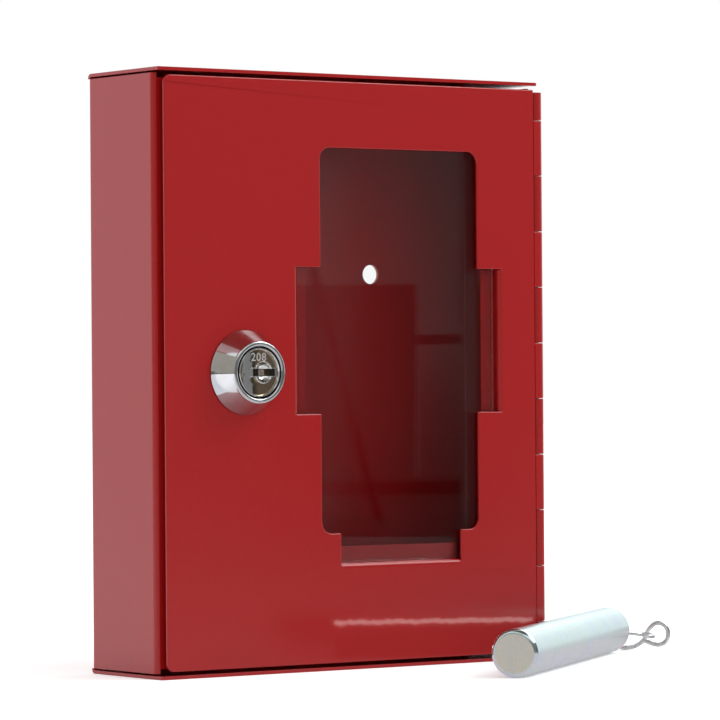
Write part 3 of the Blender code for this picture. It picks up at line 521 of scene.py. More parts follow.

# %% [markdown]
# ## Bright zinc on the striker
# Clear passivated zinc shows faint pink, green and blue tints, as oil on water does, over a pale
# silver ground. The tints lie in broad soft clouds, and the faced end has the rings of its tool.
# Over them a painted reflection tints the bar by height, pink below its middle and cyan above it.

# %% Bright zinc
STRIKER_TURN = math.radians(52.7)
STRIKER_R = 6.0 * MM
STRIKER_LONG = 98.5 * MM
STRIKER_AXIS = Vector((math.sin(STRIKER_TURN), math.cos(STRIKER_TURN), 0.0))
STRIKER_START = Vector((10.0 * MM, -67.5 * MM, STRIKER_R))
STRIKER_END = STRIKER_START + STRIKER_AXIS * STRIKER_LONG
TOOL_PITCH = 0.55 * MM
ZINC_TINTS = ((0.30, (0.76, 0.77, 0.84)), (0.42, (0.73, 0.82, 0.85)), (0.50, (0.78, 0.82, 0.82)),
              (0.58, (0.72, 0.84, 0.79)), (0.70, (0.80, 0.79, 0.85)))
# Painted reflection: the bar's side is tinted pink below its middle and cyan above it.
ZINC_PAINTED_REFLECTION_BY_HEIGHT = ((0.42, (0.935, 0.88, 0.935)), (0.60, (0.81, 0.92, 0.93)))


def make_bright_zinc():
    material, tree, shader = new_material("bright_zinc_plate", (0.78, 0.82, 0.84), 0.3, 1.0)
    marks = use_group(tree, plating, Cloud_Size=8.0 * MM, Grain_Size=0.30 * MM)
    offset = vector_maths("SUBTRACT", object_places(tree), STRIKER_START)
    along = vector_maths("DOT_PRODUCT", offset, STRIKER_AXIS)
    radius = vector_maths("LENGTH", vector_maths("CROSS_PRODUCT", offset, STRIKER_AXIS))
    rings = maths("SINE", times(radius, math.tau / TOOL_PITCH))
    on_face = below(along, 0.06 * MM)
    # Painted reflection tint, laid on by height.
    film_and_painted_reflection = blend_colours(times(split_places(tree)["Z"], 1.0 / (2 * STRIKER_R)), *ZINC_PAINTED_REFLECTION_BY_HEIGHT)
    side = mix_colours(minus(1.0, on_face), blend_colours(marks["Clouds"], *ZINC_TINTS), film_and_painted_reflection, "MULTIPLY")
    glossier = minus(1.0, times(near(along, 0.8 * MM, 0.65 * MM), 0.62))
    wire_up((mix_colours(on_face, side, (1.0, 0.89, 0.79), "MULTIPLY"), shader["Base Color"]),
            (times(spread(marks["Grain"], 0.26, 0.38), glossier), shader["Roughness"]))
    bump(shader, plus(marks["Grain"], times(times(rings, on_face), 0.30)), 0.006 * MM)
    return material


striker_zinc = make_bright_zinc()
print("material", striker_zinc.name)

# %% [markdown]
# ## Glass of the pane
# Float glass is clear, a little green where it is thick, and never quite clean.

# %% Clear glass


def make_glass():
    material, tree, shader = new_material(
        "clear_glass", (0.985, 1.0, 0.99), 0.0, IOR=1.5, Transmission_Weight=1.0)
    smears = use_group(tree, plating, Cloud_Size=18.0 * MM, Grain_Size=2.0 * MM)
    wire_up((spread(smears["Clouds"], 0.0, 0.03), shader["Roughness"]))
    return material


clear_glass = make_glass()
print("material", clear_glass.name)

# %% [markdown]
# ## Folding sheet
# A press brake bends a flat blank about a die. The same is done here: a plane is the first flat,
# its end edge is extruded for each further flat, and spun about the bend's own centre for each
# bend. Solidify then gives the sheet its thickness on one side. The folds come out with true
# radii, which catch the light as thin bright lines.

# %% Helpers for folding
X_AXIS, Z_AXIS = (1, 0, 0), (0, 0, 1)
NEAR = 0.01 * MM
BEND_STEPS = 10
ROLL_STEPS = 64
ROLL_DEGREES = 285.0


def flat(name, low, high):
    """Plane primitive across two corners that agree in one coordinate."""
    low, high = Vector(low), Vector(high)
    size = high - low
    thin = min(range(3), key=lambda axis: abs(size[axis]))
    turn = ((0.0, math.pi / 2, 0.0), ALONG_Y, (0.0, 0.0, 0.0))[thin]
    scale = ((size.z, size.y, 1.0), (size.x, size.z, 1.0), (size.x, size.y, 1.0))[thin]
    bpy.ops.mesh.primitive_plane_add(size=1.0, location=(low + high) / 2, rotation=turn)
    bpy.context.active_object.scale = scale
    return settle(name)


def end_edge(piece, axis, side):
    """Selects the edge that lies furthest along an axis."""
    reach = max(side * vertex.co[axis] for vertex in piece.data.vertices)
    edit(piece)
    pick(piece, "EDGE", lambda middle: side * middle[axis] > reach - NEAR)


def bend(degrees, centre, axis=Z_AXIS, steps=BEND_STEPS):
    """Spins the selected edge; spin turns against the right-hand rule, so the angle is negated."""
    bpy.ops.mesh.spin(steps=steps, angle=-math.radians(degrees), center=centre, axis=axis)


def run_on(x=0.0, y=0.0, z=0.0):
    bpy.ops.mesh.extrude_region_move(TRANSFORM_OT_translate={"value": (x, y, z)})


def thicken(piece, outward, thickness=SHEET, main=lambda face: -face.area):
    """Faces look outward, as the main face has to, and the thickness goes in from them."""
    close_up(piece)
    if min(piece.data.polygons, key=main).normal.dot(Vector(outward)) < 0.0:
        edit(piece)
        bpy.ops.mesh.flip_normals()
        done()
    modify(piece, "SOLIDIFY", thickness=thickness, offset=-1.0, use_even_offset=True)


def block(name, low, high, corner=0.0):
    """Box across two corners; corner rounds the four edges that run from front to back."""
    low, high = Vector(low), Vector(high)
    middle, half = (low + high) / 2, (high - low) / 2
    bpy.ops.mesh.primitive_cube_add(size=1.0, location=middle)
    bpy.context.active_object.scale = high - low
    piece = settle(name)
    if corner > 0.0:
        edit(piece)
        pick(piece, "EDGE", lambda spot: all(
            abs(abs(spot[axis] - middle[axis]) - half[axis]) < NEAR for axis in (0, 2)))
        bpy.ops.mesh.bevel(offset=corner, segments=10, affect="EDGES")
        done()
    return piece


def rod(name, radius, length, middle, sides=64, turn=ALONG_Y):
    bpy.ops.mesh.primitive_cylinder_add(vertices=sides, radius=radius, depth=length, location=middle,
                                        rotation=turn)
    return settle(name)


print("bend radius outside:", round(BEND_OUT / MM, 2), "mm")

# %% [markdown]
# ## Knuckles of the hinge
# There is no bought hinge. The right wall and the door are both rolled round one wire, and slots
# cut in turn leave eleven knuckles: six on the box, five on the door.

# %% Knuckle heights
WHOLE_KNUCKLES = 9
STACK_LOW, STACK_HIGH = pin_low.z, pin_high.z
PITCH = (STACK_HIGH - STACK_LOW) / (WHOLE_KNUCKLES + 1)
knuckle_ends = [STACK_HIGH, STACK_HIGH - PITCH / 2]
while len(knuckle_ends) < WHOLE_KNUCKLES + 2:
    knuckle_ends.append(knuckle_ends[-1] - PITCH)
knuckle_ends.append(STACK_LOW)
knuckles = list(zip(knuckle_ends[1:], knuckle_ends))
box_knuckles, door_knuckles = knuckles[0::2], knuckles[1::2]


def slot_block(low, high, back):
    """Block that clears the hinge line over one stretch of its height."""
    return block("slot", (HINGE_X - KNUCKLE_R - 2 * RUNNING_GAP, FRONT - CUT_PAST, low),
                 (HINGE_X + KNUCKLE_R + CUT_PAST, back, high))


print("knuckles:", len(box_knuckles), "on the box,", len(door_knuckles), "on the door")

# %% [markdown]
# ## The box
# One blank makes the top, back and bottom, open at the sides. A second makes the side walls: the
# left one turns in at the front to a lip that the latch catches behind, and the right one rolls
# into the hinge. On the real box they are spot-welded at the back, so they are joined there.

# %% Fold the box
LIP_REACH = 6.2 * MM
LIP_END = 1.2 * MM
RELIEF = 2.0 * MM


def fold_wrap():
    wrap = flat("cabinet_box", (LEFT, FRONT, 0.0), (RIGHT, BACK - BEND_OUT, 0.0))
    end_edge(wrap, 1, 1.0)
    bend(90.0, (0.0, BACK - BEND_OUT, BEND_OUT), X_AXIS)
    run_on(z=HEIGHT - 2 * BEND_OUT)
    bend(90.0, (0.0, BACK - BEND_OUT, HEIGHT - BEND_OUT), X_AXIS)
    run_on(y=-(BACK - BEND_OUT - FRONT))
    done()
    thicken(wrap, (0.0, 1.0, 0.0))
    for low, high in ((LEFT - CUT_PAST, LEFT + RELIEF), (RIGHT - RELIEF, RIGHT + CUT_PAST)):
        carve(wrap, block("relief", (low, BACK - RELIEF, WALL_LOW), (high, BACK + CUT_PAST, WALL_HIGH)))
    return wrap


def fold_walls():
    """Side walls with the lip at the left and the rolled knuckles at the right."""
    walls = flat("walls", (LEFT + BEND_OUT, BACK, WALL_LOW), (RIGHT - BEND_OUT, BACK, WALL_HIGH))
    end_edge(walls, 0, 1.0)
    bend(-90.0, (RIGHT - BEND_OUT, BACK - BEND_OUT, 0.0))
    run_on(y=HINGE_Y - (BACK - BEND_OUT))
    bend(ROLL_DEGREES, (HINGE_X, HINGE_Y, 0.0), steps=ROLL_STEPS)
    done()
    end_edge(walls, 0, -1.0)
    bend(90.0, (LEFT + BEND_OUT, BACK - BEND_OUT, 0.0))
    run_on(y=(LIP_FRONT + BEND_OUT) - (BACK - BEND_OUT))
    bend(90.0, (LEFT + BEND_OUT, LIP_FRONT + BEND_OUT, 0.0))
    run_on(x=LIP_REACH - BEND_OUT)
    done()
    thicken(walls, (0.0, 1.0, 0.0))
    return walls


cabinet_box = fold_wrap()
walls = fold_walls()
clear_back = HINGE_Y + KNUCKLE_R + 2 * RUNNING_GAP
for low, high in door_knuckles:
    carve(walls, slot_block(low - RUNNING_GAP, high + RUNNING_GAP, clear_back))
for low, high in ((STACK_HIGH, HEIGHT), (0.0, STACK_LOW)):
    carve(walls, slot_block(low, high, clear_back))
for low, high in ((0.0, WALL_LOW + LIP_END), (WALL_HIGH - LIP_END, HEIGHT)):
    carve(walls, block("lip_end", (LEFT + BEND_OUT, FRONT, low),
                       (LEFT + WELL_PAST, LIP_FRONT + SHEET + BEND_OUT, high)))
for blank in (cabinet_box, walls):
    round_edges(blank, BOX_EDGE, 3)
carve(cabinet_box, walls, "UNION")
print("box folded:", len(cabinet_box.data.polygons), "faces")

# %% Screw holes in the back
SCREW_ASIDE, SCREW_HEIGHT, SCREW_HOLE_R = 27.0 * MM, 100.5 * MM, 2.5 * MM
for x in (-SCREW_ASIDE, SCREW_ASIDE):
    carve(cabinet_box, rod("screw_hole", SCREW_HOLE_R, 4 * CUT_PAST, (x, BACK, SCREW_HEIGHT)))
shade(cabinet_box)
finish_piece(cabinet_box, "cabinet", "red_powder_coat", red_paint, "cabinet_shell")

# %% [markdown]
# ## The door
# The door is the third blank. The window and its notches are cut from it, and three tabs at the
# notches are bent back into channels that hold the pane at its sides and its foot.

# %% Fold the door
CHANNEL_LEFT = pane_low.x - 0.3 * MM
CHANNEL_RIGHT = pane_high.x + 1.1 * MM
CHANNEL_FLOOR = pane_low.z - 0.3 * MM
LIP_PLACE = pane_high.y + 0.3 * MM
TAB_ROOT = 2.0 * MM
TAB_LIP = 4.1 * MM
TAB_BEHIND = 0.0015 * MM
WINDOW_LOW, WINDOW_HIGH = 34.4 * MM, HEIGHT - 18.6 * MM
WINDOW_LEFT, WINDOW_RIGHT = CHANNEL_LEFT + 7.0 * MM, CHANNEL_RIGHT - 7.0 * MM
ARM_LOW, ARM_HIGH = 64.5 * MM, 101.3 * MM
FOOT_LEFT, FOOT_RIGHT = WINDOW_LEFT + 5.85 * MM, WINDOW_RIGHT - 5.85 * MM
WINDOW_CUTS = (
    ("window", WINDOW_LEFT, WINDOW_RIGHT, WINDOW_LOW, WINDOW_HIGH, 3.0 * MM),
    ("arms", CHANNEL_LEFT - BEND_OUT, CHANNEL_RIGHT + BEND_OUT, ARM_LOW, ARM_HIGH, 1.0 * MM),
    ("foot", FOOT_LEFT, FOOT_RIGHT, CHANNEL_FLOOR - BEND_OUT, WINDOW_LOW + 5.0 * MM, 1.0 * MM))

door_sheet = flat("door_sheet", (DOOR_LEFT, FRONT, DOOR_LOW), (HINGE_X, FRONT, DOOR_HIGH))
end_edge(door_sheet, 0, 1.0)
bend(ROLL_DEGREES, (HINGE_X, HINGE_Y, 0.0), steps=ROLL_STEPS)
done()
thicken(door_sheet, (0.0, -1.0, 0.0))
for index, (low, high) in enumerate(box_knuckles):
    low = low - RUNNING_GAP if index < len(box_knuckles) - 1 else DOOR_LOW - CUT_PAST
    high = high + RUNNING_GAP if index > 0 else DOOR_HIGH + CUT_PAST
    carve(door_sheet, slot_block(low, high, HINGE_Y + KNUCKLE_R + CUT_PAST))
for name, left, right, low, high, corner in WINDOW_CUTS:
    carve(door_sheet, block(name, (left, FRONT - CUT_PAST, low), (right, DOOR_BACK + CUT_PAST, high),
                            corner))
print("door cut:", len(door_sheet.data.polygons), "faces")

# %% Corners, lock hole and channels of the door
CORNER_R = 2.0 * MM
HOLE_R, HOLE_HALF_FLAT = 9.3 * MM, 8.05 * MM
CREASE = (KNUCKLE_R + 0.35 * MM, KNUCKLE_R + 0.05 * MM, 0.16 * MM)


def round_left_corners(door):
    """Two small blocks with a rounded notch take the sharp corners off the free edge."""
    for edge, inward in ((DOOR_LOW, 1.0), (DOOR_HIGH, -1.0)):
        low, high = sorted((edge - inward * CUT_PAST, edge + inward * CORNER_R))
        waste = block("corner", (DOOR_LEFT - CUT_PAST, FRONT - CUT_PAST, low),
                      (DOOR_LEFT + CORNER_R, DOOR_BACK + CUT_PAST, high))
        centre = (DOOR_LEFT + CORNER_R, FRONT, edge + inward * CORNER_R)
        carve(waste, rod("keep", CORNER_R, WELL_PAST, centre, 96))
        carve(door, waste)


def cut_lock_hole(door):
    """Round hole with two flats, so that the lock can't turn in the door."""
    hole = rod("lock_hole", HOLE_R, 4 * CUT_PAST, (LOCK_X, FRONT, LOCK_Z), 128)
    carve(hole, block("flats", (LOCK_X - WELL_PAST, FRONT - WELL_PAST / 2, LOCK_Z - HOLE_HALF_FLAT),
                      (LOCK_X + WELL_PAST, FRONT + WELL_PAST / 2, LOCK_Z + HOLE_HALF_FLAT)), "INTERSECT")
    carve(door, hole)


def fold_side_channel(side, edge):
    """Tab bent back beside the window; side is 1 at the right and -1 at the left."""
    left, right = sorted((edge + side * BEND_OUT, edge + side * TAB_ROOT))
    tab = flat("side_channel", (left, FRONT, ARM_LOW + 2 * RUNNING_GAP),
               (right, FRONT, ARM_HIGH - 2 * RUNNING_GAP))
    end_edge(tab, 0, -side)
    bend(-90.0 * side, (edge + side * BEND_OUT, FRONT + BEND_OUT, 0.0))
    run_on(y=LIP_PLACE - BEND_IN - FRONT - BEND_OUT)
    bend(90.0 * side, (edge - side * BEND_IN, LIP_PLACE - BEND_IN, 0.0))
    run_on(x=-side * (TAB_LIP - BEND_IN))
    done()
    return tab


def fold_foot_channel():
    tab = flat("foot_channel", (FOOT_LEFT + 2 * RUNNING_GAP, FRONT, CHANNEL_FLOOR - TAB_ROOT),
               (FOOT_RIGHT - 2 * RUNNING_GAP, FRONT, CHANNEL_FLOOR - BEND_OUT))
    end_edge(tab, 2, 1.0)
    bend(-90.0, (0.0, FRONT + BEND_OUT, CHANNEL_FLOOR - BEND_OUT), X_AXIS)
    run_on(y=LIP_PLACE - BEND_IN - FRONT - BEND_OUT)
    bend(90.0, (0.0, LIP_PLACE - BEND_IN, CHANNEL_FLOOR + BEND_IN), X_AXIS)
    run_on(z=TAB_LIP - BEND_IN)
    done()
    return tab


def join_tab(door, tab):
    """A tab lies a hair behind the door's face, so that the two join without a doubled face."""
    for vertex in tab.data.vertices:
        vertex.co.y += TAB_BEHIND
    thicken(tab, (0.0, -1.0, 0.0), main=lambda face: face.center.y)
    round_edges(tab, TAB_EDGE)
    carve(door, tab, "UNION")


round_left_corners(door_sheet)
cut_lock_hole(door_sheet)
round_edges(door_sheet, DOOR_EDGE, 3, clamp=False)
join_tab(door_sheet, fold_side_channel(1.0, CHANNEL_RIGHT))
join_tab(door_sheet, fold_side_channel(-1.0, CHANNEL_LEFT))
join_tab(door_sheet, fold_foot_channel())
carve(door_sheet, block("crease", (HINGE_X - CREASE[0], FRONT - CUT_PAST, DOOR_LOW - CUT_PAST),
                        (HINGE_X - CREASE[1], FRONT + CREASE[2], DOOR_HIGH + CUT_PAST)))
shade(door_sheet, LARGE_FACE)
finish_piece(door_sheet, "door", "red_powder_coat", red_paint, "door_panel")

# %% Hinge wire
hinge_wire = rod("hinge_wire", PIN_R, STACK_HIGH - STACK_LOW,
                 (HINGE_X, HINGE_Y, (STACK_HIGH + STACK_LOW) / 2), 48, (0.0, 0.0, 0.0))
soften(hinge_wire, WIRE_EDGE, 3)
finish_piece(hinge_wire, "cabinet", "bare_steel_pin", bare_steel, "hinge_pin")

# %% [markdown]
# ## The pane
# Thin float glass with ground edges, cut to drop in from above behind the window.

# %% Glass pane
pane = block("breakable_pane", pane_low, pane_high, 0.8 * MM)
soften(pane, PANE_EDGE)
finish_piece(pane, "pane", "clear_glass", clear_glass, "glass_pane")

# %% [markdown]
# ## Turned parts
# The lock and the striker come off a lathe. A circle is drawn at the first ring, then extruded
# and scaled from ring to ring, as a lathe's tool steps along the work.

# %% Helpers for turning
LOCK_AXIS = Vector((0.0, 1.0, 0.0))
TURN_WELD = 0.001 * MM


def turn(name, origin, axis, rings, hollow=False, sides=128):
    """Turned piece, with rings as (radius, distance). A hollow one closes on its first ring."""
    radius, place = rings[0]
    bpy.ops.mesh.primitive_circle_add(vertices=sides, radius=radius, location=origin + axis * place,
                                      rotation=axis.to_track_quat("Z", "Y").to_euler())
    piece = settle(name)
    edit(piece)
    for next_radius, next_place in rings[1:] + (rings[:1] if hollow else []):
        step = tuple(axis * (next_place - place))
        bpy.ops.mesh.extrude_edges_move(TRANSFORM_OT_translate={"value": step})
        scale = next_radius / radius
        bpy.ops.transform.resize(value=(scale,) * 3, center_override=origin + axis * next_place)
        radius, place = next_radius, next_place
    if not hollow:
        bpy.ops.mesh.edge_face_add()
        bpy.ops.mesh.select_all(action="DESELECT")
        bpy.ops.mesh.select_non_manifold()
        bpy.ops.mesh.edge_face_add()
    done()
    close_up(piece, TURN_WELD)
    return piece


def lock_turn(name, rings, hollow=False, sides=128, x=LOCK_X):
    """Turned piece along the lock; distances are the part's own Y."""
    return turn(name, Vector((x, 0.0, LOCK_Z)), LOCK_AXIS, rings, hollow, sides)


def lock_block(name, half_x, half_z, front, back, corner=0.0, x=LOCK_X):
    return block(name, (x - half_x, front, LOCK_Z - half_z), (x + half_x, back, LOCK_Z + half_z), corner)


def rings_from(radius, place, *steps):
    """Rings at small steps from a radius and a place, in mm."""
    return [(radius + wider * MM, place + further * MM) for wider, further in steps]


print("lathe ready")

# %% [markdown]
# ## Housing of the lock
# A zinc casting with a chromed cone in front of the door, and a threaded barrel behind it. Two
# flats on the barrel sit in the door's double-D hole. The thread is cut as ring grooves, since the
# nut hides it.

# %% Lock housing
HEAD_BACK = FRONT - 0.3 * MM
HEAD_FRONT = head_low.y
HEAD_R = (head_high.x - head_low.x) / 2
HEAD_FRONT_R = 7.75 * MM
BARREL_R = 9.0 * MM
BARREL_END = head_high.y
BARREL_HALF_FLAT = 7.75 * MM
PLUG_R = 6.15 * MM
PLUG_BORE = 6.45 * MM
JOURNAL_R = 4.7 * MM
JOURNAL_BORE = JOURNAL_R + 0.3 * MM
SHOULDER = BARREL_END - 1.8 * MM
THREAD_PITCH = 1.0 * MM
THREAD_FOOT = BARREL_R - 0.5 * MM
THREAD_CREST = BARREL_R - 0.06 * MM
MOUTH_STEPS = ((0.0, 0.5), (0.08, 0.22), (0.30, 0.05), (0.62, 0.0))
CONE_STEPS = ((-0.30, 0.06), (-0.08, 0.22), (0.0, 0.40), (0.04, 0.58), (0.08, 0.66))

thread = []
place = HEAD_BACK + THREAD_PITCH / 2
while place < BARREL_END - 0.8 * THREAD_PITCH:
    thread += [(THREAD_FOOT, place), (THREAD_CREST, place + 0.44 * THREAD_PITCH),
               (THREAD_CREST, place + 0.56 * THREAD_PITCH)]
    place += THREAD_PITCH
housing = lock_turn(
    "lock_body", rings_from(PLUG_BORE, HEAD_FRONT, *MOUTH_STEPS)
    + rings_from(HEAD_FRONT_R, HEAD_FRONT, *CONE_STEPS)
    + rings_from(HEAD_R, HEAD_BACK, (-0.06, -0.12), (0.0, 0.0)) + [(THREAD_FOOT, HEAD_BACK)] + thread
    + [(THREAD_FOOT, place), (THREAD_FOOT, BARREL_END), (JOURNAL_BORE, BARREL_END),
       (JOURNAL_BORE, SHOULDER), (PLUG_BORE, SHOULDER)], hollow=True)
for side in (1.0, -1.0):
    low, high = sorted((LOCK_Z + side * BARREL_HALF_FLAT, LOCK_Z + side * WELL_PAST))
    carve(housing, block("flat", (LOCK_X - WELL_PAST, HEAD_BACK, low),
                         (LOCK_X + WELL_PAST, BARREL_END + CUT_PAST, high)))
soften(housing, HOUSING_EDGE)
finish_piece(housing, "door", "chrome_plate", chrome, "lock_housing")

# %% [markdown]
# ## Plug of the lock
# The plug turns in the housing. Its face is sunk inside a bright rim, and a raised ring guides the
# key into a small cup with the key slot across it. Slots for the wafers and a hole for the cam's
# screw are cut in it, as on the real plug.

# %% Lock plug
KEY_NUMBER = "208"
NUMBER_HEIGHT = 2.9 * MM
NUMBER_ASIDE, NUMBER_ABOVE = 0.2 * MM, 2.85 * MM
KEYWAY_LONG = 6.5 * MM
KEYWAY_WIDE = 1.8 * MM
KEYWAY_DEEP = 12.5 * MM
KEY_X = LOCK_X + 1.4 * MM
KEY_FACE = PLUG_FRONT + 0.25 * MM
RING_FOOT = PLUG_FACE + 0.2 * MM
CUP_R = 2.3 * MM
CUP_STEPS = ((0.15, 0.0), (0.0, 0.2), (-0.12, 0.6), (-0.55, 1.15), (-1.3, 1.45))
JOURNAL_START = SHOULDER - 0.3 * MM
SCREW_R = 2.0 * MM
TENON_HALF = 2.7 * MM
WAFER_PLACES = [PLUG_FRONT + 4.2 * MM + 2.3 * MM * index for index in range(4)]
WAFER_THICK = 0.8 * MM
WAFER_LONG_HALF, WAFER_HALF = 5.5 * MM, 2.3 * MM
WAFER_GAP = 0.3 * MM
SPRING_SLOT_HALF, SPRING_SLOT_HIGH = 3.0 * MM, 4.0 * MM


def raised_number():
    """Raised figures above the key hole, as a mesh."""
    bpy.ops.object.text_add(location=(LOCK_X + NUMBER_ASIDE, PLUG_FACE, LOCK_Z + NUMBER_ABOVE),
                            rotation=ALONG_Y)
    text = bpy.context.active_object.data
    text.body = KEY_NUMBER
    text.align_x = "CENTER"
    text.size = NUMBER_HEIGHT
    text.space_character = 1.1
    text.extrude = 0.10 * MM
    text.offset = 0.03 * MM
    bpy.ops.object.convert(target="MESH")
    return settle("key_number")


plug = lock_turn(
    "lock_plug_turned", [(SCREW_R, PLUG_FACE), (FACE_R, PLUG_FACE)]
    + rings_from(0.0, PLUG_FRONT, (5.68, 0.12), (5.78, 0.0), (5.98, 0.0))
    + rings_from(PLUG_R, PLUG_FRONT, (0.0, 0.25))
    + [(PLUG_R, JOURNAL_START), (JOURNAL_R, JOURNAL_START), (JOURNAL_R, BARREL_END)])
carve(plug, lock_block("tenon", TENON_HALF, TENON_HALF, SHOULDER, plug_high.y), "UNION")
carve(plug, lock_turn("key_ring", rings_from(CUP_R, KEY_FACE, (0.32, 0.0), (0.44, 0.12))
                      + [(CUP_R + 0.50 * MM, RING_FOOT)], x=KEY_X), "UNION")
carve(plug, lock_block("slot_rim", KEYWAY_LONG / 2 + 0.42 * MM, KEYWAY_WIDE / 2 + 0.32 * MM,
                       KEY_FACE + 0.06 * MM, RING_FOOT, 0.3 * MM, x=KEY_X + 0.15 * MM), "UNION")
carve(plug, raised_number(), "UNION")
carve(plug, lock_turn("cup", [(CUP_R + 0.15 * MM, PLUG_FRONT - CUT_PAST)]
                      + rings_from(CUP_R, KEY_FACE, *CUP_STEPS), sides=96, x=KEY_X))
carve(plug, lock_block("keyway", KEYWAY_LONG / 2, KEYWAY_WIDE / 2, PLUG_FRONT - CUT_PAST,
                       PLUG_FRONT + KEYWAY_DEEP, 0.25 * MM, x=KEY_X))
for y in WAFER_PLACES:
    front, back = y - WAFER_GAP, y + WAFER_THICK + WAFER_GAP
    carve(plug, lock_block("wafer_slot", PLUG_R + CUT_PAST, WAFER_HALF + WAFER_GAP, front, back))
    carve(plug, block("spring_slot", (LOCK_X - SPRING_SLOT_HALF, front, LOCK_Z),
                      (LOCK_X + SPRING_SLOT_HALF, back, LOCK_Z + SPRING_SLOT_HIGH)))
carve(plug, lock_turn("screw_hole", [(SCREW_R, SHOULDER - 3.0 * MM), (SCREW_R, plug_high.y + CUT_PAST)],
                      sides=48))
soften(plug, PLUG_EDGE)
finish_piece(plug, "lock", "nickel_plug", plug_metal, "lock_plug")

# %% [markdown]
# ## Inside the plug
# A small flap keeps dust out of the slot. Behind it four brass wafers each have a window for the
# key and an ear that a tiny spring pushes.

# %% Dust flap
flap = block("dust_flap", *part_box("dust_shutter"))
soften(flap, FLAP_EDGE)
finish_piece(flap, "lock", "brass", dull_brown, "dust_shutter")

# %% Wafers and springs
WIRE_SMOOTH_BELOW = math.radians(50.0)
SPRING_TURNS, TURN_STEPS = 5, 12
SPRING_WIRE = 0.09 * MM
SPRING_LEFT, SPRING_RIGHT = LOCK_X - 2.6 * MM, LOCK_X + 1.1 * MM
COIL_R = 0.32 * MM
EAR_LEFT, EAR_RIGHT = LOCK_X + 1.5 * MM, LOCK_X + 2.7 * MM
EAR_LOW, EAR_HIGH = LOCK_Z + 1.15 * MM, LOCK_Z + 3.7 * MM


def make_wafer(index, y):
    wafer = lock_block(f"wafer_{index}", WAFER_LONG_HALF, WAFER_HALF, y, y + WAFER_THICK, 0.6 * MM)
    carve(wafer, block("ear", (EAR_LEFT, y, EAR_LOW), (EAR_RIGHT, y + WAFER_THICK, EAR_HIGH), 0.25 * MM),
          "UNION")
    carve(wafer, lock_block("key_window", KEYWAY_LONG / 2 + WAFER_GAP, KEYWAY_WIDE / 2 + WAFER_GAP,
                            y - CUT_PAST, y + CUT_PAST, 0.3 * MM, x=KEY_X))
    soften(wafer, WAFER_EDGE)
    finish_piece(wafer, "lock", "brass", brass, f"lock_wafer_{index}")


def bent_wire(name, points, radius, sides=6):
    """Round wire along a smooth route, turned into a mesh with closed ends."""
    curve = bpy.data.curves.new(name, "CURVE")
    curve.dimensions = "3D"
    curve.bevel_depth = radius
    curve.bevel_resolution = sides
    curve.resolution_u = 6
    curve.use_fill_caps = True
    spline = curve.splines.new("NURBS")
    spline.points.add(len(points) - 1)
    for point, place in zip(spline.points, points):
        point.co = (*place, 1.0)
    spline.order_u = 4
    spline.use_endpoint_u = True
    piece = bpy.data.objects.new(name, curve)
    bpy.context.scene.collection.objects.link(piece)
    take(piece)
    bpy.ops.object.convert(target="MESH")
    piece = bpy.context.active_object
    close_up(piece)
    bpy.ops.object.shade_smooth_by_angle(angle=WIRE_SMOOTH_BELOW)
    return piece


def make_spring(index, y):
    height = LOCK_Z + WAFER_HALF + WAFER_GAP + COIL_R + SPRING_WIRE
    points = []
    for step in range(SPRING_TURNS * TURN_STEPS + 1):
        angle = math.tau * step / TURN_STEPS
        x = SPRING_LEFT + (SPRING_RIGHT - SPRING_LEFT) * step / (SPRING_TURNS * TURN_STEPS)
        points.append((x, y + WAFER_THICK / 2 + COIL_R * math.cos(angle), height + COIL_R * math.sin(angle)))
    spring = bent_wire(f"spring_{index}", points, SPRING_WIRE, sides=2)
    finish_piece(spring, "lock", "spring_steel", spring_steel, f"wafer_spring_{index}")


for index, y in enumerate(WAFER_PLACES, start=1):
    make_wafer(index, y)
    make_spring(index, y)

# %% [markdown]
# ## Behind the door
# A washer and a nut clamp the lock in the door. The cam sits on the plug's square end under its
# own washer and screw, and is cranked forward to reach behind the cabinet's lip.

# %% Washer and nut
nut_low, nut_high = map(Vector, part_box("lock_nut"))
NUT_R = (nut_high.x - nut_low.x) / 2
NUT_TAP_FOOT, NUT_TAP_CREST = BARREL_R + 0.35 * MM, BARREL_R + 0.08 * MM


def make_washer(name, node, bore, body, edge=0.12 * MM):
    low, high = map(Vector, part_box(node))
    outside = (high.x - low.x) / 2
    rings = [(bore, low.y), (outside, low.y), (outside, high.y), (bore, high.y)]
    washer = lock_turn(name, rings, hollow=True)
    soften(washer, edge)
    finish_piece(washer, body, "spring_steel", spring_steel, node)


make_washer("barrel_washer", "lock_washer", BARREL_R + 0.3 * MM, "door")
nut = rod("hexagon_nut", NUT_R, nut_high.y - nut_low.y, (LOCK_X, (nut_low.y + nut_high.y) / 2, LOCK_Z),
          6, (math.pi / 2, math.pi / 6, 0.0))
carve(nut, lock_turn("crown", rings_from(NUT_R, nut_low.y, (-1.6, -0.001), (0.1, 0.8))
                     + rings_from(NUT_R, nut_high.y, (0.1, -0.8), (-1.6, 0.001))), "INTERSECT")
tap = [(NUT_TAP_FOOT, nut_low.y - CUT_PAST), (NUT_TAP_FOOT, nut_low.y + 0.2 * MM)]
place = nut_low.y + 0.3 * MM
while place < nut_high.y - 0.4 * MM:
    tap += [(NUT_TAP_CREST, place), (NUT_TAP_FOOT, place + THREAD_PITCH / 2)]
    place += THREAD_PITCH
carve(nut, lock_turn("tap", tap + [(NUT_TAP_FOOT, nut_high.y + CUT_PAST)]))
soften(nut, NUT_EDGE)
finish_piece(nut, "door", "zinc_plated_steel", zinc_steel, "lock_nut")

# %% Cam with its washer
cam_low, cam_high = map(Vector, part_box("lock_cam"))
CAM_THICK = 1.5 * MM
CAM_CORNER, CRANK_R = 1.6 * MM, 0.9 * MM
CRANK_HIGH, CRANK_LOW = LOCK_Z - 13.8 * MM, LOCK_Z - 18.5 * MM

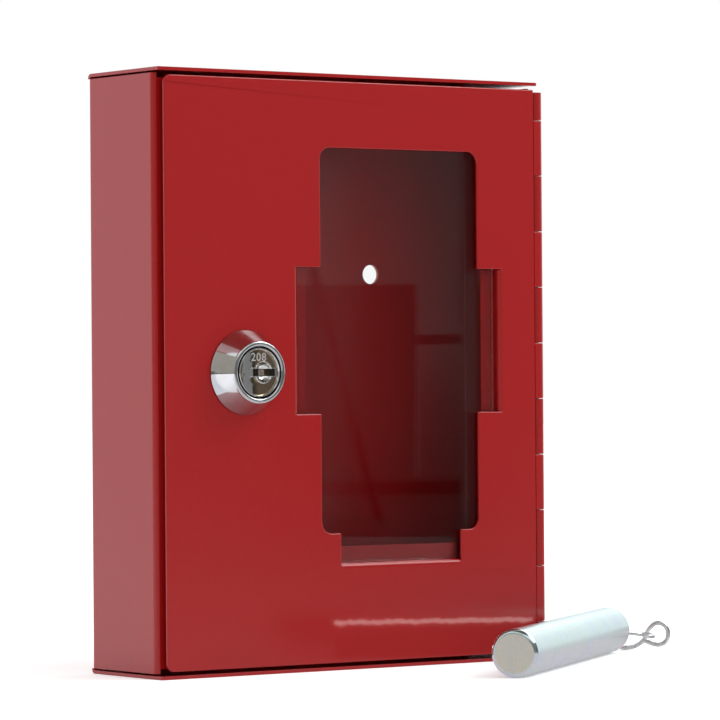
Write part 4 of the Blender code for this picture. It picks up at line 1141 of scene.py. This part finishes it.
cam = flat("latch_cam", (cam_low.x, cam_high.y, CRANK_HIGH), (cam_high.x, cam_high.y, cam_high.z))
end_edge(cam, 2, -1.0)
run_on(y=cam_low.y + CAM_THICK - cam_high.y, z=CRANK_LOW - CRANK_HIGH)
run_on(z=cam_low.z - CRANK_LOW)
done()
thicken(cam, (0.0, 1.0, 0.0), CAM_THICK)
edit(cam)
pick(cam, "EDGE", lambda spot: abs(spot.x - LOCK_X) < NEAR
     and min(abs(spot.z - CRANK_HIGH), abs(spot.z - CRANK_LOW)) < 1.2 * MM)
bpy.ops.mesh.bevel(offset=CRANK_R, segments=5, affect="EDGES")
done()
carve(cam, block("blank", (cam_low.x, cam_low.y - CUT_PAST, cam_low.z),
                 (cam_high.x, cam_high.y + CUT_PAST, cam_high.z), CAM_CORNER), "INTERSECT")
square_half = TENON_HALF + 0.3 * MM
carve(cam, lock_block("square", square_half, square_half, cam_high.y - 2.5 * MM, cam_high.y + CUT_PAST))
soften(cam, CAM_EDGE)
finish_piece(cam, "lock", "zinc_plated_steel", zinc_steel, "lock_cam")
make_washer("screw_washer", "cam_washer", SCREW_R, "lock", 0.08 * MM)

# %% Screw of the cam
screw_low, screw_high = map(Vector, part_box("cam_screw"))
PAN_R = (screw_high.x - screw_low.x) / 2
PAN_FRONT = screw_high.y - 2.2 * MM
SCREW_FOOT_R, SCREW_CREST_R, SCREW_PITCH = 1.4 * MM, 1.68 * MM, 0.7 * MM
RECESS_LONG, RECESS_WIDE, RECESS_DEEP = 2.3 * MM, 0.45 * MM, 1.0 * MM
PAN_STEPS = ((1.0, -1.1), (0.94, -0.55), (0.78, -0.18), (0.5, 0.0))

rings = [(1.3 * MM, screw_low.y)]
place = screw_low.y + 0.3 * MM
while place < PAN_FRONT - 0.9 * MM:
    rings += [(SCREW_FOOT_R, place), (SCREW_CREST_R, place + SCREW_PITCH / 2)]
    place += SCREW_PITCH
rings += [(SCREW_FOOT_R, place), (1.65 * MM, PAN_FRONT)]
rings += rings_from(PAN_R, PAN_FRONT, (-0.1, 0.0), (0.0, 0.12))
rings += [(PAN_R * share, screw_high.y + deeper * MM) for share, deeper in PAN_STEPS]
screw = lock_turn("pan_head_screw", rings, sides=64)
for half_x, half_z in ((RECESS_LONG, RECESS_WIDE), (RECESS_WIDE, RECESS_LONG)):
    carve(screw, lock_block("recess", half_x, half_z, screw_high.y - RECESS_DEEP,
                            screw_high.y + CUT_PAST, 0.2 * MM))
soften(screw, SCREW_EDGE)
finish_piece(screw, "lock", "zinc_plated_steel", zinc_steel, "cam_screw")

# %% [markdown]
# ## The striker
# A length of round bar, faced and chamfered at its front end and plated. A wire eye is pressed
# into its back end, and an open wire link hangs in the eye, for a chain.

# %% Striker bar
FRONT_CHAMFER = ((-1.25, 0.0), (-0.62, 0.30), (-0.14, 0.92), (0.0, 1.5))
BACK_CHAMFER = ((0.0, -1.2), (-0.18, -0.6), (-1.0, 0.0))
EYE_BORE_R = 1.7 * MM

striker = turn("striker_bar", STRIKER_START, STRIKER_AXIS, [(1.0 * MM, 0.0)]
               + rings_from(STRIKER_R, 0.0, *FRONT_CHAMFER)
               + rings_from(STRIKER_R, STRIKER_LONG, *BACK_CHAMFER) + [(2.0 * MM, STRIKER_LONG)])
carve(striker, turn("eye_bore", STRIKER_END, STRIKER_AXIS, [(EYE_BORE_R, -4.0 * MM), (EYE_BORE_R, CUT_PAST)],
                    sides=48))
soften(striker, STRIKER_EDGE)
finish_piece(striker, "striker", "bright_zinc_plate", striker_zinc, "hammer_body")

# %% Wire eye
UP = Vector((0.0, 0.0, 1.0))
EYE_TURN = math.radians(105.0)
EYE_TILT = math.radians(12.0)
EYE_SPAN = math.radians(300.0)
EYE_WIRE = 0.5 * MM
EYE_R = 1.84 * MM
EYE_STEPS = 16
STRAND_HALF = 0.8 * MM
EYE_FALL = 1.0 / 6.0
eye_along = Vector((math.sin(EYE_TURN), math.cos(EYE_TURN), -EYE_FALL)).normalized()
eye_across = (Vector((-math.cos(EYE_TURN), math.sin(EYE_TURN), 0.0)) * math.cos(EYE_TILT)
              + UP * math.sin(EYE_TILT)).normalized()
eye_knee = STRIKER_END + STRIKER_AXIS * 2.2 * MM
eye_lobe = eye_knee + eye_along * 10.8 * MM
eye_pinch = eye_lobe - eye_along * 2.6 * MM
striker_side = Vector((-math.cos(STRIKER_TURN), math.sin(STRIKER_TURN), 0.0))


def eye_strand(half):
    """One of the two strands, from inside the striker to where they pinch before the loop."""
    root = (striker_side * 0.75 + UP * 0.55) * half
    inside = [STRIKER_END + STRIKER_AXIS * place * MM + root for place in (-3.0, -1.0, 0.5)]
    return inside + [eye_knee + root, eye_knee.lerp(eye_pinch, 0.5) + eye_across * half + UP * (0.2 * half),
                     eye_pinch + eye_across * half]


def eye_loop():
    angles = [EYE_SPAN * (0.5 - step / EYE_STEPS) for step in range(EYE_STEPS + 1)]
    return [eye_lobe + (eye_along * math.cos(angle) + eye_across * math.sin(angle)) * EYE_R
            for angle in angles]


striker_eye = bent_wire(
    "striker_eye", eye_strand(STRAND_HALF) + eye_loop() + eye_strand(-STRAND_HALF)[::-1], EYE_WIRE)
finish_piece(striker_eye, "striker", "zinc_plated_wire", wire_zinc, "hammer_eye")

# %% Wire link
LINK_TURN = math.radians(37.7)
LINK_WIRE = 0.6 * MM
LINK_HALF = (2.65 * MM, 2.95 * MM)
LINK_RISE = 0.8 * MM
LINK_START, LINK_SPAN, LINK_STEPS = 255.0, 227.0, 15
LINK_OPEN_END = ((-4.3, -1.50), (-3.3, -1.95), (-2.2, -2.50))
LINK_TAIL = ((0.12, 0.0, 4.70), (-0.15, 0.0, 3.30), (-0.90, 0.10, 2.00), (-2.20, 0.30, 0.85),
             (-3.60, 0.30, 0.25), (-5.00, 0.41, 0.0), (-6.39, 0.89, 0.0), (-7.11, 1.90, 0.0),
             (-6.50, 2.89, 0.0), (-5.20, 3.10, 0.0))


def link_route():
    """The hook's open end, its round, and the tail that lies on the table, as aside, away and up."""
    right = Vector((math.cos(LINK_TURN), -math.sin(LINK_TURN), 0.0))
    away = Vector((math.sin(LINK_TURN), math.cos(LINK_TURN), 0.0))
    foot = Vector((eye_lobe.x, eye_lobe.y, LINK_WIRE + 0.1 * MM))
    centre = foot + right * 3.1 * MM + UP * (LINK_HALF[1] + LINK_RISE)
    points = [centre + (right * aside + UP * height) * MM for aside, height in LINK_OPEN_END]
    for step in range(LINK_STEPS + 1):
        angle = math.radians(LINK_START + LINK_SPAN * step / LINK_STEPS)
        points.append(centre + right * (LINK_HALF[0] * math.cos(angle))
                      + UP * (LINK_HALF[1] * math.sin(angle)))
    return points + [foot + (right * aside + away * deeper + UP * height) * MM
                     for aside, deeper, height in LINK_TAIL]


striker_link = bent_wire("striker_link", link_route(), LINK_WIRE)
finish_piece(striker_link, "link", "zinc_plated_wire", wire_zinc, "hammer_link")

# %% [markdown]
# ## Stage
# The box stands on white paper in a white room. Gloss shows whatever stands opposite, so cards
# stand round the set where a photographer has the darker and the brighter parts of the studio.
# Only reflections and the view through the pane see them.

# %% Floor
VIEW_MIRROR = Vector((0.585, -0.811, 0.0))
WHITE = (1.0, 1.0, 1.0, 1.0)
# Painted light and painted shadow that reflections see on the paper, by place along the view's mirror line.
PAPER_IN_GLOSS = ((0.0, (0.80, 0.80, 0.82)), (0.30, (0.76, 0.76, 0.78)), (0.40, (0.34, 0.34, 0.35)),
                  (0.55, (0.32, 0.32, 0.32)), (0.75, (0.20, 0.20, 0.20)), (1.0, (0.11, 0.11, 0.11)))


def make_floor_paper():
    """White paper. In gloss it glows with painted light: bright behind the box, dimmed from the box's line
    forward as a painted shadow, and falling off towards the studio in front.
    """
    material, tree, shader = new_material("studio_paper", (0.97, 0.97, 0.97), 0.9)
    shader["Specular IOR Level"].default_value = 0.0
    shader["Emission Color"].default_value = WHITE
    grain = use_group(tree, plating, Cloud_Size=300.0 * MM, Grain_Size=3.0 * MM)
    path = tree.nodes.new("ShaderNodeLightPath").outputs
    wire_up((spread(grain["Grain"], 0.85, 0.95), shader["Roughness"]),
            (times(path["Is Camera Ray"], 0.35), shader["Emission Strength"]))
    along = plus(vector_maths("DOT_PRODUCT", object_places(tree), VIEW_MIRROR), 0.4)
    glow = tree.nodes.new("ShaderNodeEmission")
    glow.inputs["Strength"].default_value = 2.0
    wire_up((blend_colours(along, *PAPER_IN_GLOSS), glow.inputs["Color"]))
    seen = most(path["Is Glossy Ray"], path["Is Transmission Ray"])
    seen = minus(seen, least(path["Diffuse Depth"], 1.0))
    mix_surface(tree, times(most(seen, 0.0), 0.8), tree.nodes["Principled BSDF"].outputs["BSDF"],
                glow.outputs["Emission"])
    return material


bpy.ops.mesh.primitive_plane_add(size=8.0, location=(0.0, 0.0, -0.05 * MM))
floor = settle("floor")
floor.data.materials.append(make_floor_paper())
floor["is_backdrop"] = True
print("floor laid")

# %% World
ROOM_LIGHT = 0.80


def make_world():
    """White to the camera, in reflections and through the pane, and softer as a light."""
    world = bpy.data.worlds.new("white_room")
    world.use_nodes = True
    path = world.node_tree.nodes.new("ShaderNodeLightPath").outputs
    seen = most(most(path["Is Camera Ray"], path["Is Glossy Ray"]), path["Is Transmission Ray"])
    background = world.node_tree.nodes["Background"].inputs
    background["Color"].default_value = WHITE
    wire_up((plus(times(seen, 1.0 - ROOM_LIGHT), ROOM_LIGHT), background["Strength"]))
    bpy.context.scene.world = world


make_world()
print("world ready")

# %% Helpers for cards
MIRRORED_CAMERA = Vector((CAMERA_PLACE[0], 2 * pane_low.y - CAMERA_PLACE[1], CAMERA_PLACE[2]))


def grey(value):
    """A single number stands for a grey."""
    return value if isinstance(value, tuple) else (value, value, value)


def make_card_material(name, colour, one_sided=False):
    """Plain glow that light from a matt surface passes through, so that a card lights nothing."""
    material = bpy.data.materials.new(name)
    material.use_nodes = True
    tree = material.node_tree
    tree.nodes.remove(tree.nodes["Principled BSDF"])
    glow = tree.nodes.new("ShaderNodeEmission")
    if colour is None:
        shade = tree.nodes.new("ShaderNodeAttribute")
        shade.attribute_name = "card_shade"
        wire_up((shade.outputs["Color"], glow.inputs["Color"]))
    else:
        glow.inputs["Color"].default_value = (*grey(colour), 1.0)
    passed = least(tree.nodes.new("ShaderNodeLightPath").outputs["Diffuse Depth"], 1.0)
    if one_sided:
        passed = most(passed, tree.nodes.new("ShaderNodeNewGeometry").outputs["Backfacing"])
    mix_surface(tree, passed, glow.outputs["Emission"],
                tree.nodes.new("ShaderNodeBsdfTransparent").outputs["BSDF"])
    return material


def hang(piece, material):
    """Only reflections and the view through the pane see a card."""
    piece.data.materials.append(material)
    piece.visible_camera = False
    piece.visible_diffuse = False
    piece.visible_shadow = False
    piece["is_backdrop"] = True


def card(name, corners, colour, one_sided=False, fade_to=None):
    """Flat card with four corners in metres, from the lower left on. It can fade to its upper edge."""
    bpy.ops.mesh.primitive_plane_add(size=1.0)
    piece = settle(name)
    for vertex, corner in zip(piece.data.vertices, (corners[0], corners[1], corners[3], corners[2])):
        vertex.co = corner
    if fade_to is not None:
        shade = piece.data.color_attributes.new("card_shade", "FLOAT_COLOR", "POINT")
        for entry, own in zip(shade.data, (colour, colour, fade_to, fade_to)):
            entry.color = (*grey(own), 1.0)
    hang(piece, make_card_material(name, colour if fade_to is None else None, one_sided))


def standing_card(name, direction, distance, half_width, low, high, colour):
    """Upright card that faces the box from a level direction."""
    middle = Vector(direction).normalized() * distance
    aside = Vector((-middle.y, middle.x, 0.0)).normalized() * half_width
    card(name, [middle + aside * side + UP * height
                for side, height in ((-1.0, low), (1.0, low), (1.0, high), (-1.0, high))], colour)


def pane_card(name, reach, colour, fade_to, *corners):
    """Card whose reflection fills four places on the pane, as the camera sees them; places in mm."""
    spots = [Vector((x * MM, pane_low.y, z * MM)) for x, z in corners]
    card(name, [spot + (spot - MIRRORED_CAMERA) * reach for spot in spots], colour, fade_to=fade_to)


print("card helpers ready")

# %% Cards round the set
TAN = (0.46, 0.43, 0.38)
DARK_WARM = (0.21, 0.205, 0.205)

standing_card("dark_studio", VIEW_MIRROR, 1.0, 0.60, -0.3, 0.60, DARK_WARM)
standing_card("bright_wall", (-0.55, 0.835, 0.0), 0.9, 0.60, -0.3, 0.70, (1.32, 1.32, 1.38))
standing_card("tan_wall", (-0.97, -0.22, 0.0), 1.3, 0.85, 0.01, 1.50, TAN)
standing_card("dark_skirting", (-0.97, -0.22, 0.0), 1.25, 0.85, 0.0, 0.045, (0.13, 0.12, 0.10))
standing_card("dim_front", (-0.35, -0.94, 0.0), 1.5, 0.75, -0.3, 0.90, (0.20, 0.19, 0.18))
card("high_glow", [(0.95, -0.45, 0.55), (0.95, 0.80, 0.55), (0.95, 0.80, 1.25), (0.95, -0.45, 1.25)], 3.0)
card("dark_boom", [(-0.40, -0.62, 1.0), (0.55, -0.62, 1.0), (0.55, 0.25, 1.0), (-0.40, 0.25, 1.0)],
     (0.15, 0.12, 0.10))
print("room cards placed")

# %% Cards that the pane shows
pane_card("black_panel", 0.35, (0.06, 0.057, 0.057), None,
          (-28.3, 27.4), (20.3, 26.9), (20.9, 97.3), (-27.7, 96.5))
pane_card("side_panel", 0.42, 0.10, None, (34.4, 24.9), (39.9, 24.7), (40.9, 137.2), (35.4, 137.1))
pane_card("arm_panel", 0.40, 0.15, None, (33.7, 64.5), (40.2, 64.4), (40.5, 100.0), (34.1, 100.0))
pane_card("dark_corner", 0.39, 0.03, None, (39.9, 59.8), (46.7, 59.7), (47.1, 106.3), (40.3, 106.2))
pane_card("fade_high", 0.34, 0.10, DARK_WARM, (21.3, 66.4), (35.1, 66.3), (35.2, 87.6), (21.4, 87.6))
pane_card("fade_low", 0.34, 0.06, 0.10, (21.1, 47.3), (34.9, 47.0), (35.1, 66.3), (21.3, 66.4))
pane_card("low_panel", 0.33, 0.05, None, (-10.0, 33.6), (34.7, 32.3), (34.9, 44.4), (-9.9, 44.9))
pane_card("foot_panel", 0.33, 0.19, None, (-10.1, 26.3), (34.7, 24.9), (34.7, 32.3), (-10.0, 33.6))
pane_card("black_pole", 0.29, 0.0, None, (7.4, 37.4), (9.6, 37.4), (-10.7, 101.9), (-12.8, 101.9))
pane_card("upper_rail", 0.32, 0.05, None, (20.8, 81.8), (35.2, 82.0), (35.2, 84.6), (20.8, 84.3))
pane_card("rail_edge", 0.31, 0.045, None, (-9.9, 42.9), (34.8, 42.1), (34.9, 48.0), (-9.9, 48.4))
pane_card("lower_rail", 0.30, 0.01, None, (-9.9, 44.1), (34.8, 43.4), (34.9, 46.7), (-9.9, 47.2))
print("pane cards placed")

# %% Cards that the lock's cone shows
FAN_LEFT, FAN_RIGHT = LOCK_X - 25.3 * MM, LOCK_X - 10.4 * MM
FAN = (("lock_fan_high", 0.15, (1.0, 0.4, 6.8, 22.9), TAN),
       ("lock_fan_line", 0.12, (-1.2, -0.6, 0.4, 1.0), (0.16, 0.15, 0.12)),
       ("lock_fan_low", 0.15, (-25.4, -7.6, -0.6, -1.2), (0.98, 0.99, 1.08)))

for name, before, heights, colour in FAN:
    card(name, [(x, FRONT - before * MM, LOCK_Z + height * MM)
                for x, height in zip((FAN_LEFT, FAN_RIGHT, FAN_RIGHT, FAN_LEFT), heights)], colour, True)
print("lock cards placed")

# %% Strip that the door's foot shows
STRIP_Y = FRONT - 3.5 * MM
STRIP_LEFT, STRIP_RIGHT = Vector((-4.5 * MM, 11.72 * MM)), Vector((59.0 * MM, 10.10 * MM))
STRIP_STEPS = 160
SHORT_WAVE, FINE_WAVE, LONG_WAVE = 0.62 * MM, 0.37 * MM, 1.9 * MM


def strip_card(name, low, high, colour, waver=0.0):
    """Narrow card before the door's foot, about a line that falls to the right. Its edges can waver."""
    bpy.ops.mesh.primitive_grid_add(x_subdivisions=STRIP_STEPS, y_subdivisions=1, size=1.0)
    piece = settle(name)
    for vertex in piece.data.vertices:
        x, z = STRIP_LEFT.lerp(STRIP_RIGHT, vertex.co.x + 0.5)
        edge, shift = (high, 1.0) if vertex.co.y > 0.0 else (low, 2.3)
        z += edge + waver * (math.sin(x / SHORT_WAVE + shift) + 0.8 * math.sin(x / FINE_WAVE * shift)
                             + 0.7 * math.sin(x / LONG_WAVE))
        vertex.co = (x, STRIP_Y, z)
    hang(piece, make_card_material(name, colour))


# The light strip paints a wavering bright line into the door foot's reflection, and the dark strip a darker
# band below it.
strip_card("light_strip", -0.55 * MM, 0.55 * MM, (5.0, 4.8, 4.6), 0.16 * MM)
strip_card("dark_strip", -9.0 * MM, -1.0 * MM, 0.30)
print("strips placed")

# %% Lamp
LAMP_PLACE = Vector((0.85, -0.65, 1.15))
LAMP_TARGET = Vector((0.0, 0.0, 0.07))
LAMP_SIZE = 0.8
LAMP_WATTS = 9.0

bpy.ops.object.light_add(type="AREA", location=LAMP_PLACE)
lamp = bpy.context.active_object
lamp.name = "key_light"
lamp.data.size = LAMP_SIZE
lamp.data.energy = LAMP_WATTS
lamp.rotation_euler = (LAMP_TARGET - LAMP_PLACE).to_track_quat("-Z", "Y").to_euler()
bpy.context.scene.view_settings.view_transform = "Standard"
print("lamp placed")

# %% Print the sizes
low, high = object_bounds()
print("visual box", tuple(low), tuple(high))
